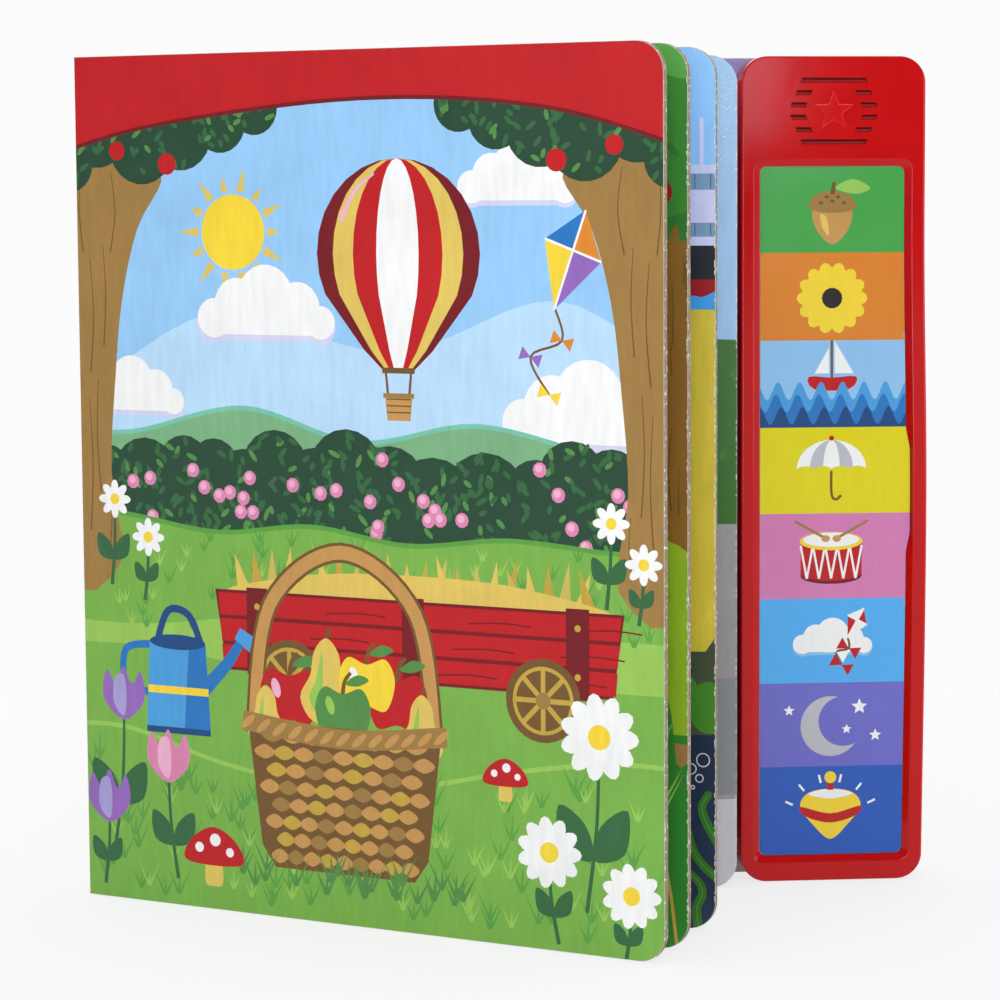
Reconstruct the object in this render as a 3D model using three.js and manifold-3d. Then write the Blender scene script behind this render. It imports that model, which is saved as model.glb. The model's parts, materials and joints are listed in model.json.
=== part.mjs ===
// Sound book: a board book that stands upright with its leaves fanned, and a sound strip beside them.
// Millimetres, +Z up. X runs from the spine to the sound strip, +Y points to the back of the book.
// The origin is at the middle of the foot of the whole book.

import * as THREE from 'three';
import { mergeVertices } from 'three/addons/utils/BufferGeometryUtils.js';
import Module from 'manifold-3d';

const wasm = await Module();
wasm.setup();

// Running and seating clearances
const gap = 0.3;
const keyClearance = 0.4;
const screwClearance = 0.15;
const solderGap = 0.05;
const filmGap = 0.2;
const apertureGap = 0.5;

// Book block
const bookHeight = 254;
const coverWidth = 196.3;
const leafThickness = 2.2;
const spineThickness = 1.1;
const topCornerRadius = 8.5;
const bottomCornerRadius = 8;
const spineCornerRadius = 1;
const gutterDepth = 3;

// How far the cover, the spine and each leaf stand off from the closed book, in degrees
const coverSpread = 33;
const spineLean = 18.5;
const leafSpreads = [28.7, 21.6, 5.5];

// Sound strip
const stripWidth = 56.5;
const stripDepth = 14.8;
const stripOffset = 1;
const stripCornerRadius = 8;
const stripEdgeRadius = 0.7;
const faceThickness = 2;
const wallThickness = 1.8;
const boardInset = 0.4;

// The casing's right side bows outwards, most at a height below its middle, and its window bows with it
const sideBow = 1.15;
const bowMiddle = 117;
const bowAbove = 90;
const bowBelow = 150;

// Window for the printed film, measured from the strip's sides
const windowLeft = 5.75;
const windowRight = 6.1;
const windowTop = 33.2;
const windowBottom = 7.9;
const windowCornerRadius = 2;
const windowBevel = 1.9;
const filmRecess = 1.3;
const filmThickness = 0.3;

// The window's right side swells outwards beside the middle fields, and the film has two nicks there
const swellDepth = 1.25;
const swellBottom = 101.3;
const swellTop = 141.5;
const swellRise = 8;
const nickRadius = 1.45;
const nickDepth = 0.5;
const nickHeights = [86.4, 169];

// Speaker grille
const grilleDrop = 16.55;
const grilleRows = 6;
const grillePitch = 3.72;
const slotHeight = 1.4;
const grooveDepth = 1;
const grilleHalfWidth = 13.9;
const grilleTaper = 0.42;
const clearHalfWidth = 9.25;
const clearTaper = 0.43;
const starRadius = 6;
const starWaist = 0.42;
const starRelief = 0.3;
const starBevel = 0.45;

// Keys under the film
const keyCount = 8;
const firstKeyDrop = 12.6;
const lastKeyRise = 14.95;
const keySideMargin = 1.75;
const keyRib = 3.85;
const keyThickness = 1.4;
const keyCornerRadius = 1.5;
const keyTravel = 0.8;
const stemRadius = 3.5;
const stemLength = 1.1;
const frameThickness = 2.2;
const frameFlange = 1.6;

// Contact sheet and circuit board
const padRadius = 4.5;
const padHeight = 0.4;
const sheetSideMargin = 3.45;
const sheetThickness = 0.5;
const circuitSideMargin = 2.2;
const circuitThickness = 1.2;
const circuitMargin = 1.5;
const chipRadius = 6;
const chipHeight = 1.6;
const chipLift = 60;

// Speaker
const speakerRadius = 13.5;
const gasketWidth = 2.2;
const gasketThickness = 0.6;
const basketDepth = 3.6;
const basketSheet = 0.6;
const magnetRadius = 7.5;
const magnetDepth = 2.4;
const coneRim = 0.35;
const coneDepth = 2;
const coneSheet = 0.3;
const ringWall = 1.2;
const ringDepth = 3.5;

// Rear casing and its posts
const rearThickness = 1.8;
const postRadius = 1.5;
const rimPostRadius = 0.9;
const boardPostSide = 4;
const boardPostHeights = [14, 36, 130, 172, 212];

// Button cells and their box
const cellRadius = 5.8;
const cellThickness = 5.4;
const cellCount = 3;
const cellPitch = 12.2;
const cellClearance = 0.4;
const boxWall = 1.4;
const boxFloor = 1;
const boxCentre = 76;
const doorEndLength = 9;
const doorThickness = 1.2;
const doorRim = 0.8;
const contactThickness = 0.3;
const contactWidth = 8;
const tabWidth = 2;

// Screws
const bossRadius = 2.3;
const bossInset = 3.7;
const bossStep = 22.3;
const screwRadius = 1.1;
const screwLength = 6.5;
const screwHeadRadius = 1.8;
const screwHeadHeight = 1;
const crossWidth = 0.5;
const crossLength = 2.4;

// Speaker leads
const leadRadius = 0.6;
const leadSpread = 3;
const leadDrop = 12;
const leadSteps = 10;

const degrees = Math.PI / 180;
const arcSteps = 6;
const fineArcSteps = 3;
const bowStep = 16;
const roundSides = 24;
const smallSides = 12;

// Layers of the sound strip along Y: the rear board's front face is at 0, the strip stands in front of it
const faceFront = -stripDepth;
const faceBack = faceFront + faceThickness;
const filmFront = faceFront + filmRecess;
const filmBack = filmFront + filmThickness;
const keyFront = filmBack + gap;
const keyBack = keyFront + keyThickness;
const stemBack = keyBack + stemLength;
const padFront = stemBack + keyTravel + gap;
const sheetFront = padFront + padHeight;
const sheetBack = sheetFront + sheetThickness;
const speakerFront = faceBack + gap + gasketThickness + gap;
const circuitFront = sheetBack + gap;
const circuitBack = circuitFront + circuitThickness;
const rearBack = -gap;
const rearFront = rearBack - rearThickness;
const floorFront = circuitBack + gap;
const floorBack = floorFront + boxFloor;
const lowContactFront = floorBack + solderGap;
const cellFront = lowContactFront + contactThickness + solderGap;
const cellBack = cellFront + cellThickness;
const highContactFront = cellBack + solderGap;
const doorFront = highContactFront + contactThickness + solderGap;
const doorBack = doorFront + doorThickness;

// Places in the strip's face, X from its left side and Z from the foot
const stripMiddle = stripWidth / 2;
const windowX0 = windowLeft;
const windowX1 = stripWidth - windowRight;
const windowZ0 = windowBottom;
const windowZ1 = bookHeight - windowTop;
const windowMiddleX = (windowX0 + windowX1) / 2;
const circuitTop = windowZ1 + circuitMargin / 2;
const windowWidth = windowX1 - windowX0;
const sheetWidth = windowWidth - 2 * sheetSideMargin;
const boardWidth = windowWidth - 2 * circuitSideMargin;
const speakerZ = bookHeight - grilleDrop;

// Keys share the height between the first and the last, with a rib of the frame between neighbours
const keyWidth = windowWidth - 2 * keySideMargin;
const keyPitch = (windowZ1 - windowZ0 - firstKeyDrop - lastKeyRise) / (keyCount - 1);
const keyHeight = keyPitch - keyRib;
const keyHeights = [];
for (let i = 0; i < keyCount; i += 1) {
  keyHeights.push(windowZ1 - firstKeyDrop - i * keyPitch);
}

// Screw bosses: two at the foot, two at the head, two below the speaker
const bossX0 = wallThickness + bossInset;
const bossX1 = stripWidth - bossX0;
const bossPlaces = [];
for (const z of [bossX0, bookHeight - bossX0 - bossStep, bookHeight - bossX0]) {
  bossPlaces.push([bossX0, z], [bossX1, z]);
}

// Holes for the screws, whose heads lie in a sink below the outer face
const screwHoleRadius = screwRadius + screwClearance;
const screwSinkRadius = screwHeadRadius + screwClearance;
function screwHoleFront(face) {
  return face - screwHeadHeight - screwLength - gap;
}

// Battery box: a pocket for the cells, and a solid end for the door's screw
const pocketWidth = 2 * (cellRadius + cellClearance);
const pocketLength = pocketWidth + (cellCount - 1) * cellPitch;
const boxWidth = pocketWidth + 2 * boxWall;
const boxLength = pocketLength + 2 * boxWall + doorEndLength;
const boxZ0 = boxCentre - boxLength / 2;
const boxZ1 = boxCentre + boxLength / 2;
const pocketZ0 = boxZ0 + boxWall;
const pocketZ1 = pocketZ0 + pocketLength;
const doorScrewZ = (pocketZ1 + boxZ1) / 2;
const cellHeights = [];
for (let i = 0; i < cellCount; i += 1) {
  cellHeights.push(pocketZ0 + pocketWidth / 2 + i * cellPitch);
}

// The spine leans: a place on its outer face is s millimetres in front of the rear board
const lean = spineLean * degrees;
function spinePoint(s, inwards = 0) {
  const x = -(coverWidth + stripOffset) - s * Math.sin(lean) + inwards * Math.cos(lean);
  const y = -s * Math.cos(lean) - inwards * Math.sin(lean);
  return [x, y];
}

// Leaves stack at the spine from the rear board forwards, the front leaf last
const leafWidth = coverWidth - spineThickness - gap;
const leafSteps = leafSpreads.map((_, i) => gap + (leafSpreads.length - i) * leafThickness);
const frontLeafStep = leafSteps[0];
const coverStep = frontLeafStep + gap + leafThickness;
const coverFold = spinePoint(coverStep);

// A leaf that stands off less than the spine leans back, so its root sits further in to clear the spine
function leafRoot(i) {
  const tilt = leafThickness * Math.sin(lean - leafSpreads[i] * degrees);
  return spinePoint(leafSteps[i], spineThickness + gap + Math.max(0, tilt));
}

// Colours seen in the photograph
const paint = {
  cover: [0xc32a2a, 0.35, 0],
  rearBoard: [0xa59bd2, 0.4, 0],
  leaf: [0x5aa046, 0.4, 0],
  red: [0xc01a20, 0.22, 0],
  film: [0x4b8fd0, 0.25, 0],
  white: [0xe6e6e2, 0.5, 0],
  grey: [0x4a4d50, 0.8, 0],
  circuit: [0x2f6b3c, 0.5, 0],
  epoxy: [0x151515, 0.35, 0],
  steel: [0xb9bcc0, 0.35, 1],
  magnet: [0x5a5c60, 0.45, 1],
  foam: [0x222326, 0.95, 0],
  paper: [0x1d1d1f, 0.8, 0],
  nickel: [0xc9c4b4, 0.3, 1],
  lead: [0x20242c, 0.5, 0],
};

function material(name) {
  const [color, roughness, metalness] = paint[name];
  return new THREE.MeshStandardMaterial({ color, roughness, metalness });
}

// Solids for joining and cutting
function solid(geometry) {
  const bare = geometry.clone();
  bare.deleteAttribute('normal');
  bare.deleteAttribute('uv');
  const merged = mergeVertices(bare, 1e-5);
  return new wasm.Manifold(new wasm.Mesh({
    numProp: 3,
    vertProperties: new Float32Array(merged.attributes.position.array),
    triVerts: new Uint32Array(merged.index.array),
  }));
}

function surface(body) {
  const mesh = body.getMesh();
  const geometry = new THREE.BufferGeometry();
  geometry.setAttribute('position', new THREE.BufferAttribute(new Float32Array(mesh.vertProperties), 3));
  geometry.setIndex(new THREE.BufferAttribute(new Uint32Array(mesh.triVerts), 1));
  geometry.computeVertexNormals();
  return geometry;
}

function join(parts) {
  return parts.reduce((whole, part) => whole.add(part));
}

function cut(body, tools) {
  return tools.reduce((rest, tool) => rest.subtract(tool), body);
}

// A rounded rectangle in X and Z, with its own radius at each corner
function roundedRectangle(x0, z0, x1, z1, { topLeft, topRight, bottomRight, bottomLeft }) {
  const shape = new THREE.Shape();
  shape.moveTo(x0 + bottomLeft, z0);
  shape.lineTo(x1 - bottomRight, z0);
  shape.absarc(x1 - bottomRight, z0 + bottomRight, bottomRight, -Math.PI / 2, 0);
  shape.lineTo(x1, z1 - topRight);
  shape.absarc(x1 - topRight, z1 - topRight, topRight, 0, Math.PI / 2);
  shape.lineTo(x0 + topLeft, z1);
  shape.absarc(x0 + topLeft, z1 - topLeft, topLeft, Math.PI / 2, Math.PI);
  shape.lineTo(x0, z0 + bottomLeft);
  shape.absarc(x0 + bottomLeft, z0 + bottomLeft, bottomLeft, Math.PI, 1.5 * Math.PI);
  return shape;
}

function evenRectangle(x0, z0, x1, z1, radius) {
  const corners = { topLeft: radius, topRight: radius, bottomRight: radius, bottomLeft: radius };
  return roundedRectangle(x0, z0, x1, z1, corners);
}

// How far the casing's right side stands out at a height
function bowAt(z) {
  const reach = z > bowMiddle ? bowAbove : bowBelow;
  const t = Math.min(Math.abs(z - bowMiddle) / reach, 1);
  return sideBow * Math.cos((t * Math.PI) / 2) ** 2;
}

// A bowed side drawn upwards from the shape's last point
function bowTo(shape, x, z0, z1) {
  const steps = Math.ceil((z1 - z0) / bowStep);
  for (let i = 1; i <= steps; i += 1) {
    const z = z0 + ((z1 - z0) * i) / steps;
    shape.lineTo(x + bowAt(z), z);
  }
}

// An upright outline whose right side is bowed; side(shape) may draw part of that side its own way
function bowedRectangle(x0, z0, x1, z1, r, side = (shape) => bowTo(shape, x1, z0 + r, z1 - r)) {
  const low = x1 + bowAt(z0 + r) - r;
  const high = x1 + bowAt(z1 - r) - r;
  const shape = new THREE.Shape();
  shape.moveTo(x0 + r, z0);
  shape.lineTo(low, z0);
  shape.absarc(low, z0 + r, r, -Math.PI / 2, 0);
  side(shape);
  shape.absarc(high, z1 - r, r, 0, Math.PI / 2);
  shape.lineTo(x0 + r, z1);
  shape.absarc(x0 + r, z1 - r, r, Math.PI / 2, Math.PI);
  shape.lineTo(x0, z0 + r);
  shape.absarc(x0 + r, z0 + r, r, Math.PI, 1.5 * Math.PI);
  return shape;
}

function polygon(points) {
  return new THREE.Shape(points.map(([x, y]) => new THREE.Vector2(x, y)));
}

// A shape in X and Z made into a plate between two depths
function plate(shape, front, back, options = {}) {
  const settings = { depth: back - front, bevelEnabled: false, curveSegments: arcSteps, ...options };
  const geometry = new THREE.ExtrudeGeometry(shape, settings);
  geometry.rotateX(Math.PI / 2);
  geometry.translate(0, back, 0);
  return geometry;
}

function block(x0, x1, y0, y1, z0, z1) {
  const geometry = new THREE.BoxGeometry(x1 - x0, y1 - y0, z1 - z0);
  geometry.translate((x0 + x1) / 2, (y0 + y1) / 2, (z0 + z1) / 2);
  return geometry;
}

// A round bar along Y
function bar(x, z, radius, front, back, sides = smallSides) {
  const geometry = new THREE.CylinderGeometry(radius, radius, back - front, sides);
  geometry.translate(x, (front + back) / 2, z);
  return geometry;
}

// A turned piece about an axis along Y, from points of radius and depth in closed order
function turned(points, sides = roundSides) {
  return new THREE.LatheGeometry(points.map(([radius, y]) => new THREE.Vector2(radius, y)), sides);
}

// Card leaf, its outer face at Y 0 and its root at X 0
function leafGeometry(width) {
  const outline = roundedRectangle(0, 0, width, bookHeight, {
    topLeft: spineCornerRadius,
    topRight: topCornerRadius,
    bottomRight: bottomCornerRadius,
    bottomLeft: spineCornerRadius,
  });
  return plate(outline, 0, leafThickness);
}

// The fanned leaves, joined where their folds are glued at the spine
function pagesGeometry() {
  const leaves = leafSpreads.map((spread, i) => {
    const [x, y] = leafRoot(i);
    const geometry = leafGeometry(leafWidth);
    geometry.rotateZ(-spread * degrees);
    geometry.translate(x, y, 0);
    return solid(geometry);
  });
  const first = leafSpreads[0] * degrees;
  const last = leafSpreads[leafSpreads.length - 1] * degrees;
  const rootFront = leafRoot(0);
  const rootBack = leafRoot(leafSteps.length - 1);
  const backX = rootBack[0] + leafThickness * Math.sin(last);
  const backY = rootBack[1] + leafThickness * Math.cos(last);
  const gutter = new THREE.ExtrudeGeometry(polygon([
    rootFront,
    [backX, backY],
    [backX + gutterDepth * Math.cos(last), backY - gutterDepth * Math.sin(last)],
    [rootFront[0] + gutterDepth * Math.cos(first), rootFront[1] - gutterDepth * Math.sin(first)],
  ]), { depth: bookHeight - 2 * spineCornerRadius, bevelEnabled: false });
  gutter.translate(0, 0, spineCornerRadius);
  return surface(join([solid(gutter), ...leaves]));
}

// Rear board and spine strip, one folded card, with the battery box's aperture
function backCoverGeometry() {
  const right = stripWidth - boardInset;
  const backOutside = spinePoint(-leafThickness / Math.cos(lean));
  const frontInside = spinePoint(-spineThickness * Math.tan(lean), spineThickness);
  const section = polygon([
    backOutside,
    [right, leafThickness],
    [right, 0],
    frontInside,
    spinePoint(frontLeafStep, spineThickness),
    spinePoint(frontLeafStep),
  ]);
  const folded = new THREE.ExtrudeGeometry(section, { depth: bookHeight, bevelEnabled: false });
  const left = coverFold[0] - leafThickness;
  const outline = roundedRectangle(left, 0, right, bookHeight, {
    topLeft: spineCornerRadius,
    topRight: stripCornerRadius,
    bottomRight: stripCornerRadius,
    bottomLeft: spineCornerRadius,
  });
  const trim = plate(outline, coverFold[1], 2 * leafThickness);
  const x0 = stripMiddle - boxWidth / 2 - apertureGap;
  const x1 = stripMiddle + boxWidth / 2 + apertureGap;
  const aperture = block(x0, x1, -leafThickness, 2 * leafThickness, boxZ0 - apertureGap, boxZ1 + apertureGap);
  return surface(solid(folded).intersect(solid(trim)).subtract(solid(aperture)));
}

// Outline with the window's straight sides, let out by a margin
function windowFrame(margin) {
  const [x0, x1] = [windowX0 - margin, windowX1 + margin];
  return evenRectangle(x0, windowZ0 - margin, x1, windowZ1 + margin, windowCornerRadius);
}

// Window outline with its bowed right side, let out by a margin, with or without the swell on that side
function windowOutline(margin, swollen) {
  const [x0, x1] = [windowX0 - margin, windowX1 + margin];
  const [z0, z1] = [windowZ0 - margin, windowZ1 + margin];
  const r = windowCornerRadius;
  if (!swollen) {
    return bowedRectangle(x0, z0, x1, z1, r);
  }
  const out = x1 + swellDepth;
  const [lowOut, highOut] = [swellBottom + swellRise, swellTop - swellRise];
  const curve = (shape, from, fromZ, to, toZ) => {
    const middle = (fromZ + toZ) / 2;
    shape.bezierCurveTo(from + bowAt(middle), middle, to + bowAt(middle), middle, to + bowAt(toZ), toZ);
  };
  return bowedRectangle(x0, z0, x1, z1, r, (shape) => {
    bowTo(shape, x1, z0 + r, swellBottom);
    curve(shape, x1, swellBottom, out, lowOut);
    bowTo(shape, out, lowOut, highOut);
    curve(shape, out, highOut, x1, swellTop);
    bowTo(shape, x1, swellTop, z1 - r);
  });
}

// Half widths of the grille's outline and of the clear field around the star, at a height from its middle
function grilleEdge(z) {
  return grilleHalfWidth - grilleTaper * Math.abs(z);
}

function clearEdge(z) {
  return clearHalfWidth - clearTaper * Math.abs(z);
}

// Slots of the grille between two fractions of their height, as outlines
function grilleSlots(low, high) {
  const slots = [];
  for (let row = 0; row < grilleRows; row += 1) {
    const middle = ((grilleRows - 1) / 2 - row) * grillePitch;
    const z0 = middle + low * slotHeight;
    const z1 = middle + high * slotHeight;
    const outerLow = grilleEdge(z0);
    const outerHigh = grilleEdge(z1);
    if (row === 0 || row === grilleRows - 1) {
      slots.push([[-outerLow, z0], [outerLow, z0], [outerHigh, z1], [-outerHigh, z1]]);
    } else {
      const innerLow = clearEdge(z0);
      const innerHigh = clearEdge(z1);
      slots.push([[-outerLow, z0], [-innerLow, z0], [-innerHigh, z1], [-outerHigh, z1]]);
      slots.push([[innerLow, z0], [outerLow, z0], [outerHigh, z1], [innerHigh, z1]]);
    }
  }
  return slots.map((slot) => polygon(slot.map(([x, z]) => [stripMiddle + x, speakerZ + z])));
}

function starShape() {
  const points = [];
  for (let i = 0; i < 10; i += 1) {
    const reach = (i % 2 === 0 ? 1 : starWaist) * (starRadius - starBevel);
    const angle = Math.PI / 2 + (i * Math.PI) / 5;
    points.push([stripMiddle + reach * Math.cos(angle), speakerZ + reach * Math.sin(angle)]);
  }
  return polygon(points);
}

// Front casing: a moulded shell with the window, the grille, the star, screw bosses and the speaker's ring
function frontCasingGeometry() {
  const outline = bowedRectangle(0, 0, stripWidth, bookHeight, stripCornerRadius);
  const outer = plate(outline, faceFront + stripEdgeRadius, 0, {
    bevelEnabled: true,
    bevelThickness: stripEdgeRadius,
    bevelSize: stripEdgeRadius,
    bevelOffset: -stripEdgeRadius,
    bevelSegments: 4,
  });
  const behind = block(-stripWidth, 2 * stripWidth, -gap, stripDepth, -bookHeight, 2 * bookHeight);
  const w = wallThickness;
  const inner = evenRectangle(w, w, stripWidth - w, bookHeight - w, stripCornerRadius - w);
  const cavity = plate(inner, faceBack, stripDepth);
  const through = plate(windowOutline(0, true), faceFront - faceThickness, faceBack + faceThickness);
  const bevel = plate(windowOutline(0, false), faceFront - faceThickness, faceFront, {
    bevelEnabled: true,
    bevelThickness: filmRecess,
    bevelSize: windowBevel,
    bevelSegments: 1,
  });
  let shell = cut(solid(outer), [behind, cavity, through, bevel].map(solid));
  const bossFront = faceBack - faceThickness / 2;
  const bosses = bossPlaces.map(([x, z]) => solid(bar(x, z, bossRadius, bossFront, rearFront - gap)));
  const ringFront = faceBack - faceThickness / 2;
  const ringRadius = speakerRadius + gap;
  const ringBack = faceBack + ringDepth;
  const ringOuter = bar(stripMiddle, speakerZ, ringRadius + ringWall, ringFront, ringBack, roundSides);
  const ringInner = bar(stripMiddle, speakerZ, ringRadius, faceBack, faceBack + 2 * ringDepth, roundSides);
  shell = join([shell, ...bosses, solid(ringOuter).subtract(solid(ringInner))]);
  const star = plate(starShape(), faceFront, faceFront + faceThickness / 2, {
    bevelEnabled: true,
    bevelThickness: starRelief,
    bevelSize: starBevel,
    bevelSegments: 1,
  });
  shell = shell.add(solid(star));
  const holes = bossPlaces.map(([x, z]) => bar(x, z, screwHoleRadius, screwHoleFront(rearBack), 0));
  const grooves = grilleSlots(-0.5, 0.5).map((slot) => plate(slot, faceFront - 1, faceFront + grooveDepth));
  const slits = grilleSlots(0, 0.5).map((slot) => plate(slot, faceFront - 1, faceBack + 1));
  return surface(cut(shell, [...holes, ...grooves, ...slits].map(solid)));
}

// Printed film with two half-moon nicks in its right edge
function filmGeometry() {
  const film = plate(windowOutline(-filmGap, true), filmFront, filmBack);
  const nickX = windowX1 - filmGap + nickRadius - nickDepth;
  const nicks = nickHeights.map((z) => bar(nickX + bowAt(z), z, nickRadius, filmFront - 1, filmBack + 1));
  return surface(cut(solid(film), nicks.map(solid)));
}

// Frame that carries the film and guides the keys
function keyFrameGeometry() {
  const flange = plate(windowFrame(frameFlange), faceBack + gap, keyFront + frameThickness);
  const pad = plate(windowFrame(-gap), keyFront, keyFront + frameThickness);
  const c = keyClearance;
  const x0 = windowMiddleX - keyWidth / 2 - c;
  const x1 = windowMiddleX + keyWidth / 2 + c;
  const openings = keyHeights.map((z) => {
    const half = keyHeight / 2 + c;
    const outline = evenRectangle(x0, z - half, x1, z + half, keyCornerRadius + c);
    return plate(outline, keyFront - 1, keyFront + frameThickness + 1, { curveSegments: fineArcSteps });
  });
  const notchBack = keyFront + frameThickness + 1;
  const notches = bossPlaces.map(([x, z]) => bar(x, z, bossRadius + gap, faceBack - 1, notchBack));
  return surface(cut(join([flange, pad].map(solid)), [...openings, ...notches].map(solid)));
}

// One key about its own middle: a plate and the stem behind it, its front face at Y 0
function keyGeometry() {
  const outline = evenRectangle(-keyWidth / 2, -keyHeight / 2, keyWidth / 2, keyHeight / 2, keyCornerRadius);
  const face = plate(outline, 0, keyThickness, { curveSegments: fineArcSteps });
  const stem = bar(0, 0, stemRadius, keyThickness / 2, keyThickness + stemLength);
  return surface(solid(face).add(solid(stem)));
}

// Rubber contact sheet with a raised pad behind each key
function contactSheetGeometry() {
  const x0 = windowMiddleX - sheetWidth / 2;
  const x1 = windowMiddleX + sheetWidth / 2;
  const z0 = windowZ0 + circuitMargin;
  const z1 = windowZ1 - circuitMargin;
  const sheet = plate(evenRectangle(x0, z0, x1, z1, keyCornerRadius), sheetFront, sheetBack);
  const padBack = sheetBack - sheetThickness / 2;
  const pads = keyHeights.map((z) => bar(windowMiddleX, z, padRadius, padFront, padBack));
  return surface(join([sheet, ...pads].map(solid)));
}

function circuitGeometry() {
  const x0 = windowMiddleX - boardWidth / 2;
  const x1 = windowMiddleX + boardWidth / 2;
  const z0 = windowZ0 + circuitMargin;
  const outline = evenRectangle(x0, z0, x1, circuitTop, keyCornerRadius);
  return plate(outline, circuitFront, circuitBack);
}

// Domed drop of epoxy over the sound chip
function chipGeometry() {
  const points = [];
  for (let i = 0; i <= arcSteps; i += 1) {
    const angle = (i / arcSteps) * (Math.PI / 2);
    points.push([chipRadius * Math.cos(angle), chipHeight * Math.sin(angle)]);
  }
  return turned([[0, 0], ...points.slice(0, -1), [0, chipHeight]]);
}

// Speaker pieces, turned about Y with Y 0 at the front of the basket's rim
function basketGeometry() {
  const s = basketSheet;
  const neck = magnetRadius + s;
  return turned([
    [coneDepth, basketDepth - s],
    [neck, basketDepth - s],
    [speakerRadius - gasketWidth - s, s],
    [speakerRadius - s, s],
    [speakerRadius - s, 0],
    [speakerRadius, 0],
    [speakerRadius, 2 * s],
    [speakerRadius - gasketWidth, 2 * s],
    [neck + s, basketDepth],
    [coneDepth, basketDepth],
    [coneDepth, basketDepth - s],
  ]);
}

function coneGeometry() {
  const s = coneSheet;
  const rim = speakerRadius - basketSheet - coneRim;
  const root = magnetRadius - coneRim;
  const front = basketSheet - gap / 2 - s;
  return turned([
    [0, coneDepth / 2],
    [root / 2, coneDepth / 2 + s],
    [root, coneDepth],
    [rim - gasketWidth, front],
    [rim, front],
    [rim, front + s],
    [rim - gasketWidth, front + s],
    [root, coneDepth + s],
    [root / 2, coneDepth / 2 + 2 * s],
    [0, coneDepth / 2 + s],
  ]);
}

function gasketGeometry() {
  const inner = speakerRadius - gasketWidth;
  return turned([
    [inner, 0],
    [speakerRadius, 0],
    [speakerRadius, gasketThickness],
    [inner, gasketThickness],
    [inner, 0],
  ]);
}

// Rear casing: the plate that closes the shell, its posts, and the battery box through the rear board
function rearCasingGeometry() {
  const w = wallThickness + gap;
  const outline = evenRectangle(w, w, stripWidth - w, bookHeight - w, stripCornerRadius - w);
  const bodies = [plate(outline, rearFront, rearBack)];
  const halfBox = boxWidth / 2;
  bodies.push(block(stripMiddle - halfBox, stripMiddle + halfBox, floorFront, doorBack, boxZ0, boxZ1));
  const postBack = rearFront + rearThickness / 2;
  for (const z of boardPostHeights) {
    for (const side of [-1, 1]) {
      const x = windowMiddleX + side * (boardWidth / 2 - boardPostSide);
      bodies.push(bar(x, windowZ0 + z, postRadius, circuitBack + gap, postBack));
    }
  }
  const basketBack = speakerFront + 2 * basketSheet;
  for (let i = 0; i < 3; i += 1) {
    const angle = Math.PI / 2 + (i * 2 * Math.PI) / 3;
    const reach = speakerRadius - gasketWidth / 2;
    const x = stripMiddle + reach * Math.cos(angle);
    const z = speakerZ + reach * Math.sin(angle);
    bodies.push(bar(x, z, rimPostRadius, basketBack + gap, postBack));
  }
  const tools = [];
  const halfPocket = pocketWidth / 2;
  const outside = doorBack + 1;
  const [pocketX0, pocketX1] = [stripMiddle - halfPocket, stripMiddle + halfPocket];
  tools.push(block(pocketX0, pocketX1, floorBack, outside, pocketZ0, pocketZ1));
  tools.push(plate(doorOutline(0), doorFront - solderGap, outside));
  tools.push(bar(stripMiddle, doorScrewZ, screwHoleRadius, screwHoleFront(doorBack), doorBack));
  for (const [x, z] of bossPlaces) {
    tools.push(bar(x, z, screwHoleRadius, rearFront - 1, rearBack + 1));
    tools.push(bar(x, z, screwSinkRadius, rearBack - screwHeadHeight - screwClearance, rearBack + 1));
  }
  for (const { x0, x1, z0, z1 } of contactSlots()) {
    tools.push(block(x0, x1, floorFront - 1, floorBack + 1, z0, z1));
  }
  return surface(cut(join(bodies.map(solid)), tools.map(solid)));
}

function doorOutline(shrink) {
  const x0 = stripMiddle - boxWidth / 2 + doorRim + shrink;
  const x1 = stripMiddle + boxWidth / 2 - doorRim - shrink;
  return evenRectangle(x0, boxZ0 + doorRim + shrink, x1, boxZ1 - doorRim - shrink, 1);
}

// Door with a counterbored hole for its screw
function doorGeometry() {
  const door = plate(doorOutline(filmGap), doorFront, doorBack);
  const hole = bar(stripMiddle, doorScrewZ, screwHoleRadius, doorFront - 1, doorBack + 1);
  const sinkFront = doorBack - screwHeadHeight - solderGap;
  const sink = bar(stripMiddle, doorScrewZ, screwSinkRadius, sinkFront, doorBack + 1);
  return surface(cut(solid(door), [hole, sink].map(solid)));
}

// Where the two end contacts pass through the box's floor, beside the first and the last cell
function contactSlots() {
  const reach = cellRadius + cellClearance - contactThickness;
  const slot = (side, z) => {
    const x = stripMiddle + side * (reach - contactThickness);
    const half = tabWidth / 2 + gap;
    return { x0: x - contactThickness, x1: x + contactThickness, z0: z - half, z1: z + half };
  };
  return [
    slot(-1, pocketZ0 + tabWidth / 2 + gap),
    slot(1, pocketZ1 - tabWidth / 2 - gap),
  ];
}

function tabGeometry({ x0, x1, z0, z1 }, front, back) {
  const x = (x0 + x1) / 2;
  return block(x - contactThickness / 2, x + contactThickness / 2, front, back, z0 + gap, z1 - gap);
}

function contactPlate(first, last, front) {
  const z0 = cellHeights[first] - contactWidth / 2;
  const z1 = cellHeights[last] + contactWidth / 2;
  const half = contactWidth / 2;
  return block(stripMiddle - half, stripMiddle + half, front, front + contactThickness, z0, z1);
}

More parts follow.
